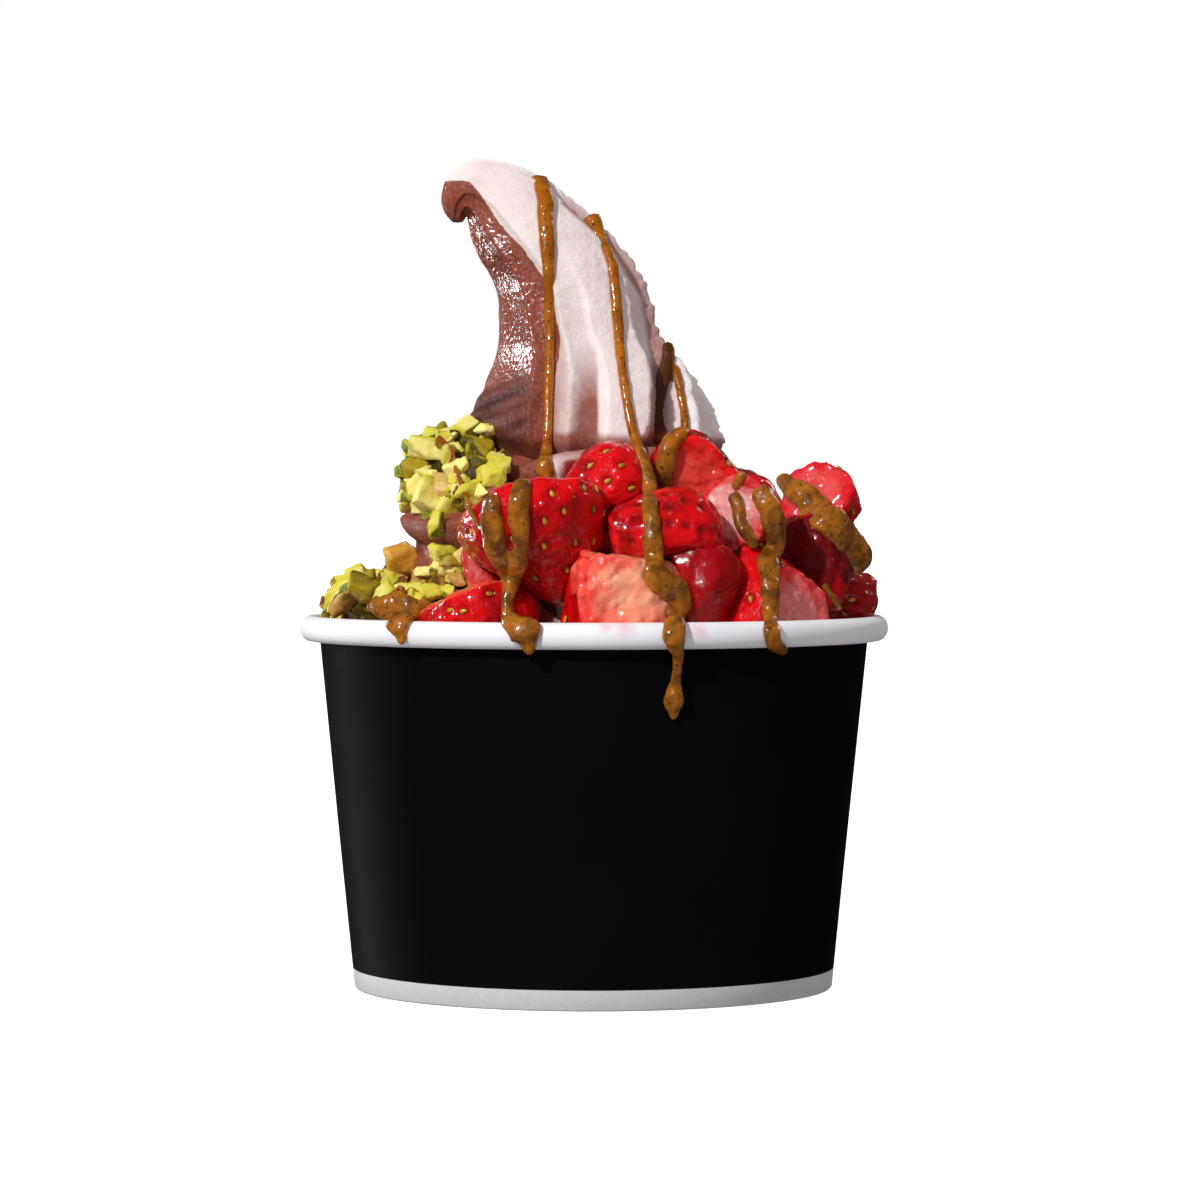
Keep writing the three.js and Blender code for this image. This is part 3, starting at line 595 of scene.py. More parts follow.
# How deep each point lies below the crests as a share of the radius, and how near a crest it is.
def ribDepth(degrees, rise):
    depth = np.zeros(len(rise))
    crest = np.zeros(len(rise))
    ribs = peak["ribs"] + [[peak["ribs"][0][0] + 360, *peak["ribs"][0][1:]]]
    for (foot, turn, low, high), (nextFoot, nextTurn, nextLow, nextHigh) in zip(ribs, ribs[1:]):
        start = foot + turn * rise
        width = np.maximum(nextFoot + nextTurn * rise - start, 1)
        along = (degrees - start) % 360 / width
        inside = along < 1
        first = low + (high - low) * rise
        second = nextLow + (nextHigh - nextLow) * rise
        falling = 1 - (1 - np.clip(along, 0, 1)) ** peak["sharpness"]
        rising = np.clip(along, 0, 1) ** peak["sharpness"]
        bend = np.where(second > first, falling, rising)
        depth = np.where(inside, first + (second - first) * bend, depth)
        away = np.where(second > first, along, 1 - along) * width
        near = np.exp(-(away / peak["crestWidth"]) ** 2) * np.abs(second - first) / 0.15
        crest = np.where(inside, near, crest)
    return depth, np.clip(crest, 0, 1)


# Frost over the whole peak, coarser on its crests and its right edge, and wrinkles at its left foot.
def peakFrost(points, crest):
    x, y, z = (points / mm).T
    icy = smoothStep(-12, -5, x)
    edge = smoothStep(9, 15, x + (z - 90) * 0.42)
    frost = grain(points, 0.0012, 3) * (0.05 + 0.02 * icy + 0.2 * edge + 0.28 * crest * icy)
    frost += grain(points, 0.0028, 4) * (0.05 + 0.25 * crest * icy) + grain(points, 0.008, 5) * 0.15
    wrinkled = smoothStep(-8, -12, x) * smoothStep(101, 97, z) * smoothStep(89, 91, z)
    return frost + grain(foldedPlaces(x, y, z), 0.0034, 16) * 0.42 * wrinkled


# Places squeezed along the slant of the wrinkles, so that a grain read there becomes folds.
def foldedPlaces(x, y, z):
    return np.stack([z * 2.2 - x * 0.9, y * 0.3, x * 0.25], 1) * mm


def makePeak():
    piece = addBall("peak", peak["around"], peak["along"])
    share, angle = ballPlaces(piece)
    line = smoothLine(peak["line"], 400)
    stops = np.linspace(0, 1, len(line))
    x, z, radius, lean = (np.interp(share, stops, column) for column in line.T)
    rise = np.clip((z - peak["foot"]) / peak["rise"], 0, 1)
    rise = np.where(share > 0.8, 1, rise) ** peak["ease"]
    degrees = np.degrees(angle)
    depth, crest = ribDepth(degrees, rise)
    ending = roundEnd(share, 0.975, 1)
    reach = radius * (1 - depth * smoothStep(84, 88, z)) * ending
    forward = reach * np.cos(angle)
    sideways = reach * np.sin(angle)
    lean = np.radians(lean)
    points = np.stack([x + sideways * np.cos(lean), -forward, z + sideways * np.sin(lean)], 1)
    points[:, 2] += points[:, 1] * peak["frontDip"] * smoothStep(106, 92, points[:, 2])
    points *= mm
    placePoints(piece, points)
    faceOut(piece)
    normals = readNormals(piece)
    placePoints(piece, points + normals * (peakFrost(points, crest) * ending * mm)[:, None])
    giveValue(piece, "crest", crest)
    facet = smoothStep(-86, -76, degrees) * smoothStep(-24, -32, degrees)
    giveValue(piece, "glaze", 0.15 + 0.85 * facet * smoothStep(97.5, 101.5, points[:, 2] / mm))
    return piece


def ropeMiddle(lap):
    turn = -lap * 2 * math.pi - math.pi / 2
    radius = np.interp(lap, rope["laps"], rope["radius"])
    height = np.interp(lap, rope["laps"], rope["height"])
    outward = np.stack([np.cos(turn), np.sin(turn), np.zeros(len(turn))], 1)
    middle = outward * radius[:, None]
    middle[:, 0] += rope["centreX"]
    middle[:, 2] = height
    return middle, outward


def makeRope():
    piece = addBall("rope", rope["around"], rope["along"])
    share, angle = ballPlaces(piece)
    lap = share * rope["laps"][-1]
    middle, outward = ropeMiddle(lap)
    tube = np.interp(lap, rope["laps"], rope["tube"])
    phase = (angle / (2 * math.pi) * rope["ribs"] + lap * rope["twist"]) % 1
    fall, sharp = rope["falling"], rope["sharpness"]
    groove = np.where(phase < fall, 1 - (1 - phase / fall) ** sharp, ((1 - phase) / (1 - fall)) ** sharp)
    depth = rope["depth"] * groove
    ending = roundEnd(share, 0.95, 1) * roundEnd(share, 0.03, 0)
    reach = tube * (1 - depth) * ending
    points = middle + outward * (reach * np.cos(angle))[:, None]
    points[:, 2] += reach * np.sin(angle)
    points *= mm
    placePoints(piece, points)
    faceOut(piece)
    normals = readNormals(piece)
    rough = grain(points, 0.0012, 6) * 0.08 + grain(points, 0.004, 7) * 0.25
    placePoints(piece, points + normals * (rough * ending * mm)[:, None])
    giveValue(piece, "crest", smoothStep(0.25, 0, groove))
    giveValue(piece, "glaze", np.full(len(points), 0.12))
    return piece


def makeFill():
    heights = [fill["floor"], *np.linspace(fill["floor"] + 1, fill["shoulder"], 10)]
    rows = [[outerWall(z) - cup["paper"] - fill["gap"], z] for z in heights]
    rows += [[rows[-1][0] - 1.5, 58.2], *fill["crown"]]
    piece = turnedShell("fill", rows, fill["around"])
    bpy.ops.object.mode_set(mode="EDIT")
    bpy.ops.mesh.select_all(action="DESELECT")
    bpy.ops.mesh.select_non_manifold()
    bpy.ops.mesh.edge_face_add()
    bpy.ops.object.mode_set(mode="OBJECT")
    faceOut(piece)
    points = readPoints(piece)
    points[:, 2] += grain(points, 0.005, 8) * 0.0006 * (points[:, 2] > 0.057)
    placePoints(piece, points)
    return piece


# How far each point lies on the dark side of the line where the flavours meet, seen from the front.
def darkSide(points):
    line = np.array(flavourEdge, dtype=float)
    nearest = np.full(len(points), 1e9)
    side = np.zeros(len(points))
    for (startX, startZ), (endX, endZ) in zip(line, line[1:]):
        alongX, alongZ = endX - startX, endZ - startZ
        fromX, fromZ = points[:, 0] - startX, points[:, 2] - startZ
        share = np.clip((fromX * alongX + fromZ * alongZ) / (alongX ** 2 + alongZ ** 2), 0, 1)
        offX = fromX - alongX * share
        offZ = fromZ - alongZ * share
        apart = np.hypot(offX, offZ)
        closer = apart < nearest
        side = np.where(closer, np.sign(alongX * offZ - alongZ * offX), side)
        nearest = np.where(closer, apart, nearest)
    return nearest * side


# Two more shades follow the shape: painted shade, as darker chocolate in the folds at the peak's foot and in
# the rope's creases, and vanilla that chocolate has tinged, with painted shade beside the third crest, down
# the second rib and round the peak's foot.
def makeSoftServe():
    piece = joinAll([makePeak(), makeRope(), makeFill()], "soft_serve_twist")
    points = readPoints(piece) / mm
    x, y, z = points.T
    dark = darkSide(points)
    wander = grain(points * mm, 0.006, 9) * 0.4
    giveValue(piece, "chocolate", smoothStep(-0.5, 0.5, dark + wander))
    # painted shade in the folds at the peak's front-left foot
    foldShade = smoothStep(101.5, 96, z) * smoothStep(86.5, 88.5, z) * smoothStep(-8, -12, x)
    foldShade *= smoothStep(6, -4, y)
    foldShade *= 0.75 + 0.6 * grain(foldedPlaces(x, y, z), 0.003, 16)
    coil = np.stack([x, y, z * 0.35], 1) * mm
    # painted shade in patches along the low rope's creases
    creaseShade = smoothStep(84, 80, z) * smoothStep(0.1, 0.8, grain(coil, 0.0045, 21)) * 0.75
    giveValue(piece, "foldShade", np.clip(foldShade + creaseShade, 0, 1))
    base = smoothStep(108, 90, z)
    # painted shade down the second rib's right side, with real chocolate tinge near its base
    valley = smoothStep(-5.5, -0.5, x) * smoothStep(1.2, 0.4, x) * base
    shaded = smoothStep(-2, 0, dark) * base * 0.4
    ridge = np.interp(z, *np.array(crestLine).T)
    # painted shade on the band that falls away to the right of the third crest
    crestShade = smoothStep(ridge, ridge + 1, x) * smoothStep(ridge + 5, ridge + 2.5, x) * 0.8
    leaning = smoothStep(-1.5, -7, x) * smoothStep(122, 100, z) * 0.5
    facing = smoothStep(2, -4, y) * (z > 87.5)
    # painted shadow where the peak's foot overhangs the rope
    foot = smoothStep(23.5, 21, np.hypot(x - 0.5, y)) * smoothStep(84, 86.5, z) * smoothStep(90.5, 88.5, z)
    giveValue(piece, "tingeAndShade", np.clip((valley * 1.3 + shaded + crestShade + leaning) * facing + foot, 0, 1))
    smoothShade(piece)
    piece.data.materials.clear()
    piece.data.materials.append(softServeFinish())
    finishPiece(piece, ["soft_serve_chocolate", "soft_serve_vanilla"])
    return piece


softServe = makeSoftServe()
print("soft serve: fill, rope and peak")


# Strawberries: each piece starts as a whole berry, and is then cut, softened, pitted and seeded.
berry = {
    "voxel": 0.4, "backVoxel": 0.55, "gap": 0.15, "seedSpacing": 4.5, "seedLength": 1.4,
    "seedWidth": 0.8, "pitDepth": 0.6, "pitWidth": 0.85, "rimDepth": 3.2, "fullness": 0.6, "shoulder": 1.6,
    "seedless": ["front_band", "front_dark", "right_inner"],
    # how far apart the pits are, how much painted shade darkens the piece and how rough, where it differs
    "pitSpacing": {"front_band": 3.3, "front_dark": 30},
    "paintedShade": {"front_dark": 0.7, "right_rim": 0.6, "right_deep": 0.5, "front_clear": 0.4, "left_small": 0.15,
              "right_slice": 0.1},
    "jagged": {"right_rim": 2.2, "right_slice": 1.7, "front_centre": 1.5},
}
red = [(232, 40, 34), (240, 120, 96)]
strawberries = {
    # middle, length and width, the way the tip points, cut faces, and the flesh at its rim and heart
    "front_centre": [(3, -35.5, 62.5), (24, 20), (-0.75, 0, -0.66),
                     [(0, -1, 0.08, 6.3), (0, 1, 0, 3), (0.12, 0, 1, 8.2), (-0.85, -0.45, 0.3, 8.4),
                      (0.7, -0.65, 0.3, 8.6)], [(246, 72, 60), (255, 178, 140)]],
    "front_right": [(27, -25.6, 62.3), (24, 21), (-0.3, -0.1, 0.95),
                    [(0.75, -0.66, 0.05, 5.3)], [(236, 40, 40), (232, 148, 140)]],
    "front_band": [(9.5, -30.5, 73.8), (24, 16.5), (-0.9, -0.3, 0.1),
                   [(0.1, -0.25, -0.95, 4.2), (0, 1, 0, 2), (-0.95, -0.2, -0.25, 7)],
                   [(236, 14, 24), (240, 70, 70)]],
    "front_left": [(-7.9, -31, 73.5), (25, 24.5), (0.35, -0.15, -0.93),
                   [(-0.15, 0.5, 0.85, 3.6), (0, 1, 0, 1)], [(220, 50, 60), (240, 150, 140)]],
    "left_low": [(-19.3, -28.6, 60.5), (24, 18), (-0.83, 0.45, -0.2), [(-0.35, 0.1, 0.93, 4)],
                 [(232, 70, 50), (244, 150, 120)]],
    "upper_front": [(1, -24.3, 80.5), (19, 15), (-0.85, -0.3, -0.35), [(0, 0.6, -0.8, 3)], red],
    "upper_right": [(17, -20.5, 81.5), (19, 17), (0.9, -0.1, -0.2), [(0.1, -0.97, -0.2, 2.4)],
                    [(240, 24, 20), (240, 84, 74)]],
    "right_shoulder": [(24.5, -24, 75.5), (17, 14), (0.6, 0.2, -0.7), [(-0.4, -0.9, 0.1, 4)],
                       [(218, 44, 46), (240, 180, 176)]],
    "right_slice": [(37.3, -12, 78.3), (17, 13), (0.6, 0.1, -0.8),
                    [(-0.35, -0.75, 0.55, 2.2), (0.35, 0.75, -0.55, 2.6)], [(226, 20, 32), (240, 92, 92)]],
    # its dark flesh colours are painted shade
    "right_deep": [(36, -14, 69), (19, 16), (0.3, -0.5, -0.8),
                   [(0.8, -0.5, 0.2, 5.5), (-0.15, -0.98, 0.1, 5.4)], [(104, 2, 6), (150, 8, 30)]],
    "right_rim": [(41, -3.5, 63.8), (17, 12), (0.3, 0.93, 0.1), [(0.25, 0, 0.97, 3.6)], red],
    "front_dark": [(16, -31, 64.5), (20, 16), (0.2, -0.2, -0.95), [(-0.2, -0.97, 0.1, 6)],
                   [(190, 4, 10), (214, 20, 28)]],
    "front_clear": [(-9, -33.5, 63.5), (18, 15), (0.3, -0.1, -0.95), [(-0.2, -0.97, 0.2, 5.5)],
                    [(196, 30, 22), (214, 90, 66)]],
    "left_small": [(-15.3, -28.8, 67.3), (14, 12.5), (-0.3, -0.2, -0.9), [(-0.5, -0.85, 0.1, 4)],
                   [(206, 60, 54), (222, 150, 140)]],
    "right_inner": [(31.5, -17, 71), (15, 13), (0.2, 0.1, -0.9), [(0.2, -0.95, 0.15, 4)],
                    [(220, 70, 80), (232, 130, 140)]],
}
# round the back: turn from the front, distance out and height
backStrawberries = [
    (104, 34.5, 64.5), (127, 34.5, 63.5), (151, 35, 64.5), (176, 34.5, 63.5), (201, 35, 64.5),
    (116, 27.5, 77), (147, 27, 75.5), (179, 27.5, 77.5),
]
backLean, backCut = 0.35, 4.5
for i, (degrees, radius, height) in enumerate(backStrawberries):
    turn = math.radians(degrees)
    outX, outY = math.sin(turn), -math.cos(turn)
    side = 1 if i % 2 else -1
    tip = (outY * side, -outX * side, backLean if i % 3 else -backLean * 2)
    if i % 2:
        cuts = [(outX, outY, backLean, backCut), (-outX, -outY, 0, backCut)]
    else:
        cuts = [(-outX, -outY, 0, backCut / 3), (0, 0, -1, backCut * 1.3)]
    flesh = [(222, 50, 44), (240, 160, 140)] if i % 4 == 1 else [(216, 30, 34), (244, 190, 176)]
    strawberries[f"back_{i + 1}"] = [(outX * radius, outY * radius, height), (22, 18), tip, cuts, flesh]


def berryRadius(t, width):
    return width / 2 * np.sin(math.pi * np.clip(t, 0, 1) ** berry["shoulder"]).clip(0) ** berry["fullness"]


# The seed that every berry uses: a small drop, pointed at one end.
def makeSeed():
    seed = addBall("seed", 8, 6)
    points = readPoints(seed)
    taper = 1 - 0.35 * points[:, 1]
    points[:, 0] *= berry["seedWidth"] / 2 * taper * mm
    points[:, 2] *= berry["seedWidth"] / 2 * 0.62 * taper * mm
    points[:, 1] *= berry["seedLength"] / 2 * mm
    placePoints(seed, points)
    smoothShade(seed)
    return seed


# Seeds lie in staggered rows on the skin, each turned towards the tip.
def seedPlaces(length, width, rng, spacing):
    places = []
    step = spacing / length * 0.8
    t = 0.08
    row = 0
    while t < 0.93:
        radius = berryRadius(t, width)
        count = max(3, round(2 * math.pi * radius / (spacing * 1.15)))
        for i in range(count):
            angle = (i + 0.5 * (row % 2) + rng.uniform(-0.24, 0.24)) / count * 2 * math.pi
            at = t + rng.uniform(-0.04, 0.04)
            here = berryRadius(at, width)
            slope = (berryRadius(at + 0.01, width) - berryRadius(at - 0.01, width)) / (0.02 * length)
            place = Vector((here * math.cos(angle), here * math.sin(angle), (at - 0.5) * length))
            normal = Vector((math.cos(angle), math.sin(angle), -slope)).normalized()
            towards = Vector((slope * math.cos(angle), slope * math.sin(angle), 1)).normalized()
            places.append((place, normal, towards))
        t += step
        row += 1
    return places


def cutBerry(name, middle, size, cuts, spin):
    length, width = size
    piece = addBall(name, 56, 44)
    share, angle = ballPlaces(piece)
    radius = berryRadius(share, width)
    points = np.stack([radius * np.cos(angle), radius * np.sin(angle), (share - 0.5) * length], 1)
    points = points @ np.array(spin).T + np.array(middle)
    placePoints(piece, points * mm)
    pick(piece)
    bpy.ops.object.mode_set(mode="EDIT")
    for x, y, z, offset in cuts:
        normal = Vector((x, y, z)).normalized()
        place = (Vector(middle) + normal * offset) * mm
        bpy.ops.mesh.select_all(action="SELECT")
        bpy.ops.mesh.bisect(plane_co=place, plane_no=normal, use_fill=True, clear_outer=True)
    bpy.ops.object.mode_set(mode="OBJECT")
    return piece


# Draws points in to where the ray from the piece's heart first meets an earlier piece.
def clipTo(points, heart, trees, gap):
    hidden = np.zeros(len(points), dtype=bool)
    low, high = points.min(0), points.max(0)
    near = [tree for tree, treeLow, treeHigh in trees if (treeLow < high).all() and (treeHigh > low).all()]
    for i, point in enumerate(points):
        way = Vector(point) - heart
        reach = way.length
        way.normalize()
        nearest = reach
        for tree in near:
            hit = tree.ray_cast(heart, way, reach + gap)
            if hit[3] is not None and hit[3] - gap < nearest:
                nearest = max(hit[3] - gap, 0)
        if nearest < reach:
            points[i] = heart + way * nearest
            hidden[i] = True
    return points, hidden


def rememberTree(piece, trees):
    points = readPoints(piece)
    trees.append((treeOf(piece), points.min(0), points.max(0)))


# The seeds' places on the skin that the cuts have left, each with its way out and its way to the tip.
def seedMarks(name, middle, size, cuts, spin):
    spacing = berry["pitSpacing"].get(name, berry["seedSpacing"])
    marks = []
    for place, normal, towards in seedPlaces(*size, random.Random(name), spacing):
        world = (spin @ place + Vector(middle)) * mm
        here = world / mm - Vector(middle)
        if all(here @ Vector((x, y, z)).normalized() < offset - 0.7 for x, y, z, offset in cuts):
            marks.append((world, spin @ normal, spin @ towards))
    return marks


def seedCopy(seed, mark, finish):
    place, normal, towards = mark
    across = towards.cross(normal).normalized()
    turn = Matrix((across, towards, normal)).transposed().to_4x4()
    mesh = seed.data.copy()
    mesh.transform(Matrix.Translation(place - normal * 0.4 * mm) @ turn)
    mesh.materials.append(finish)
    copy = bpy.data.objects.new("seed", mesh)
    bpy.context.scene.collection.objects.link(copy)
    return copy


def makeStrawberry(name, details, seed, finishes, trees):
    middle, (length, width), tip, cuts, (rim, heart) = details
    spin = Vector((0, 0, -1)).rotation_difference(Vector(tip).normalized()).to_matrix()
    piece = cutBerry("strawberry_" + name, middle, (length, width), cuts, spin)
    voxel = berry["backVoxel"] if name.startswith("back") else berry["voxel"]
    apply(piece, "REMESH", mode="VOXEL", voxel_size=voxel * mm)
    apply(piece, "SMOOTH", factor=0.5, iterations=4)
    points = readPoints(piece)
    fromMiddle = points / mm - np.array(middle)
    local = fromMiddle @ np.array(spin)
    t = local[:, 2] / length + 0.5
    under = np.maximum(berryRadius(t, width), 0.5) - np.hypot(local[:, 0], local[:, 1])
    cutDepth = np.full(len(points), 9.0)
    for x, y, z, offset in cuts:
        normal = np.array(Vector((x, y, z)).normalized())
        cutDepth = np.minimum(cutDepth, offset - fromMiddle @ normal)
    giveValue(piece, "skin", smoothStep(0.25, 0.75, cutDepth) * smoothStep(1.4, 0.8, under))
    giveValue(piece, "core", 1 - np.clip(under / berry["rimDepth"], 0, 1))
    giveValue(piece, "fibre", np.arctan2(local[:, 1], local[:, 0]) / math.pi)
    giveValue(piece, "height", t)
    normals = readNormals(piece)
    flesh = smoothStep(0.6, 0.3, cutDepth)
    lumps = grain(points, 0.0045, 11) * (0.35 + 0.4 * flesh)
    lumps += grain(points, 0.0018, 12) * (0.12 + 0.2 * flesh)
    points = points + normals * (lumps * berry["jagged"].get(name, 1) * mm)[:, None]
    marks = seedMarks(name, middle, (length, width), cuts, spin)
    pits = np.zeros(len(points))
    for place, normal, towards in marks:
        apart = np.linalg.norm(points - np.array(place), axis=1) / mm
        pits = np.maximum(pits, np.exp(-(apart / berry["pitWidth"]) ** 2))
    points -= normals * (pits * berry["pitDepth"] * mm)[:, None]
    low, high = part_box("strawberry_" + name)
    points = clipTo(points, (low + high) / 2, trees, berry["gap"] * mm)[0]
    placePoints(piece, points)
    giveValue(piece, "pit", pits)
    # painted shade: faces turned downward get darker
    undersideShade = smoothStep(0.1, -0.8, normals[:, 2]) * 0.6
    giveValue(piece, "paintedShade", np.maximum(undersideShade, berry["paintedShade"].get(name, 0)))
    giveColour(piece, "rimTint", np.tile(paint(*rim), (len(points), 1)))
    giveColour(piece, "heartTint", np.tile(paint(*heart), (len(points), 1)))
    for finish in finishes:
        piece.data.materials.append(finish)
    smoothShade(piece)
    seeds = []
    if marks and name not in berry["seedless"]:
        places = np.array([place for place, normal, towards in marks])
        covered = clipTo(places, (low + high) / 2, trees, berry["gap"] * mm)[1]
        seeds = [seedCopy(seed, mark, finishes[1]) for mark, gone in zip(marks, covered) if not gone]
    piece = joinAll([piece] + seeds, "strawberry_piece_" + name)
    finishPiece(piece, ["strawberry_" + name])
    rememberTree(piece, trees)
    return piece


seed = makeSeed()
berryFinishes = (strawberryFinish(), seedFinish())
trees = []
rememberTree(softServe, trees)
rememberTree(cupPiece, trees)
berries = []
for name, details in strawberries.items():
    berries.append(makeStrawberry(name, details, seed, berryFinishes, trees))
bpy.data.objects.remove(seed)


# The berries' juice soaks the soft serve close to them.
def soakSoftServe(reach=2.6):
    tree = joinTrees(berries)
    points = readPoints(softServe)
    juice = np.zeros(len(points))
    for i in np.nonzero((points[:, 2] > 0.057) & (points[:, 2] < 0.086) & (points[:, 0] > -0.019))[0]:
        place, normal, face, apart = tree.find_nearest(Vector(points[i]), reach * mm)
        if place is not None:
            juice[i] = smoothStep(reach, reach * 0.4, apart / mm)
    giveValue(softServe, "juice", juice)


soakSoftServe()
print("strawberries:", len(berries), "pieces")


# Pistachios: twelve chopped bits are shaped, then laid as two banks on the rope.
# the break and the skin of each kind of bit
nutColours = {
    "pale": ((252, 238, 142), (208, 198, 62)), "green": ((220, 210, 72), (116, 130, 16)),
    "olive": ((170, 146, 30), (84, 72, 6)), "brown": ((200, 150, 78), (116, 72, 36)),
    "gold": ((230, 170, 62), (176, 104, 24)), "sauce": ((150, 102, 34), (122, 80, 24)),
    "pink": ((240, 206, 150), (208, 172, 96)),
}
banks = {
    "upper": {
        "ring": 23.5, "height": 83, "tube": 6.4, "from": -34, "to": -148, "hiddenFrom": -80, "hidden": 90,
        "share": 0.8, "bits": 3, "kinds": ["pale", "green", "olive", "pale", "green", "olive"],
        # x and height of the bits that show from the front, their size and kind
        "pieces": [
            (-22.5, 91.2, 6.5, "pale"), (-19.1, 90.6, 6.5, "pale"), (-25.1, 90.1, 6, "green"),
            (-20.9, 89, 6, "green"),
            (-18.6, 87, 6.5, "olive"), (-16.2, 85.2, 6.5, "pale"), (-17.5, 83.2, 7, "green"),
            (-25.8, 86.7, 7, "pale"), (-27.8, 84.7, 7, "olive"), (-26.4, 82.2, 7, "pale"),
            (-28.4, 80.6, 7, "green"),
            (-23.5, 81.8, 6.5, "pink"), (-19.6, 80.4, 7, "green"), (-25.2, 77.8, 8.5, "pale"),
            (-22.2, 78.7, 7.5, "pale"), (-30.6, 80.2, 6.5, "olive"), (-22.8, 85.9, 5.5, "pale"),
            (-28.9, 78.2, 5, "pale"),
        ],
    },
    "lower": {
        "ring": 37.2, "height": 61, "tube": 5, "from": -38, "to": -150, "hiddenFrom": -76, "hidden": 90,
        "share": 0.8, "bits": 3, "kinds": ["pale", "green", "pale", "brown", "green", "olive"],
        "pieces": [
            (-33.1, 69.2, 6.5, "green"), (-29.7, 68.2, 8, "gold"), (-37.4, 68, 6.5, "sauce"),
            (-35.2, 66.6, 7, "pale"),
            (-38.6, 65.6, 6, "sauce"), (-41, 63.9, 6.5, "pale"), (-42.6, 62.6, 6, "pale"),
            (-39.4, 62.6, 7.5, "brown"),
            (-33.6, 65.2, 7, "sauce"), (-33.1, 62.8, 7, "pale"), (-29.1, 63.4, 6.5, "pale"),
            (-26.2, 63.3, 6, "green"),
            (-23.2, 65, 7, "pale"), (-23.6, 69.4, 7.5, "green"), (-20.6, 69.9, 6.5, "pale"),
            (-36.3, 63.4, 7, "olive"),
            (-24.6, 66.4, 5, "brown"), (-43.6, 61.2, 5, "pale"),
        ],
    },
}


def anyWay(rng):
    return Vector([rng.gauss(0, 1) for k in range(3)]).normalized()


# A block is broken by flat cuts, and one rounded side keeps the kernel's green skin.
def makeChips():
    chips = []
    rng = random.Random(5)
    for i in range(12):
        clearSelection()
        bpy.ops.mesh.primitive_cube_add(size=1, location=(0, 0, 0))
        chip = nameIt(f"chip{i}")
        bpy.ops.object.mode_set(mode="EDIT")
        bpy.ops.mesh.select_all(action="SELECT")
        bpy.ops.transform.resize(value=(1.1, rng.uniform(0.56, 0.86), rng.uniform(0.42, 0.72)))
        for j in range(4 + i % 3):
            normal = Vector([rng.choice((-1, 1)) * rng.uniform(0.3, 1) for k in range(3)]).normalized()
            bpy.ops.mesh.select_all(action="SELECT")
            place = normal * rng.uniform(0.24, 0.44)
            bpy.ops.mesh.bisect(plane_co=place, plane_no=normal, use_fill=True, clear_outer=True)
        bpy.ops.object.mode_set(mode="OBJECT")
        skinWay = anyWay(rng)
        apply(chip, "REMESH", mode="VOXEL", voxel_size=0.075)
        apply(chip, "SMOOTH", factor=0.5, iterations=2)
        points = readPoints(chip)
        normals = readNormals(chip)
        giveValue(chip, "broken", 1 - smoothStep(0.3, 0.65, normals @ np.array(skinWay)))
        points += normals * (grain(points, 0.45, i) * 0.07 + grain(points, 0.17, i + 20) * 0.04)[:, None]
        placePoints(chip, points)
        chips.append(chip)
    return chips


# Where a line from the eye past this x and height first meets the tree, with all of it turned about the cup.
def lookAt(x, z, turn, tree):
    aim = Matrix.Rotation(math.radians(turn), 3, "Z")
    start = aim @ eye
    way = (aim @ (Vector((x, 0, z)) * mm) - start).normalized()
    place, normal, index, reach = tree.ray_cast(start, way)
    return place, normal, -way


def chipCopy(chips, place, size, kind, rng, number):
    mesh = chips[number % len(chips)].data.copy()
    broken = np.empty(len(mesh.vertices))
    mesh.attributes["broken"].data.foreach_get("value", broken)
    inner, outer = (np.array(paint(*colour)) for colour in nutColours[kind])
    colours = inner * broken[:, None] + outer * (1 - broken[:, None])
    layer = mesh.attributes.new("nutTint", "FLOAT_COLOR", "POINT")
    layer.data.foreach_set("color", colours.astype(np.float32).ravel())
    spin = Matrix.Rotation(rng.uniform(0, 6.28), 4, anyWay(rng))
    mesh.transform(Matrix.Translation(place) @ spin @ Matrix.Diagonal((size * mm, size * mm, size * mm, 1)))
    copy = bpy.data.objects.new("chip", mesh)
    bpy.context.scene.collection.objects.link(copy)
    return copy


def bankCore(bank):
    core = addBall("core", 24, 40)
    share, angle = ballPlaces(core)
    turn = np.radians(bank["from"] - 6 + (bank["to"] - bank["from"] + 12) * share)
    tube = bank["tube"] * 0.9 * np.sin(np.pi * share).clip(0) ** 0.3
    out = bank["ring"] + tube * np.cos(angle)
    height = bank["height"] + tube * np.sin(angle)
    points = np.stack([np.sin(turn) * out, -np.cos(turn) * out, height], 1) * mm
    placePoints(core, points)
    faceOut(core)
    # the core is dark brown so that the gaps between the chips show painted shade
    giveColour(core, "nutTint", np.tile(paint(60, 42, 8), (len(points), 1)))
    return core


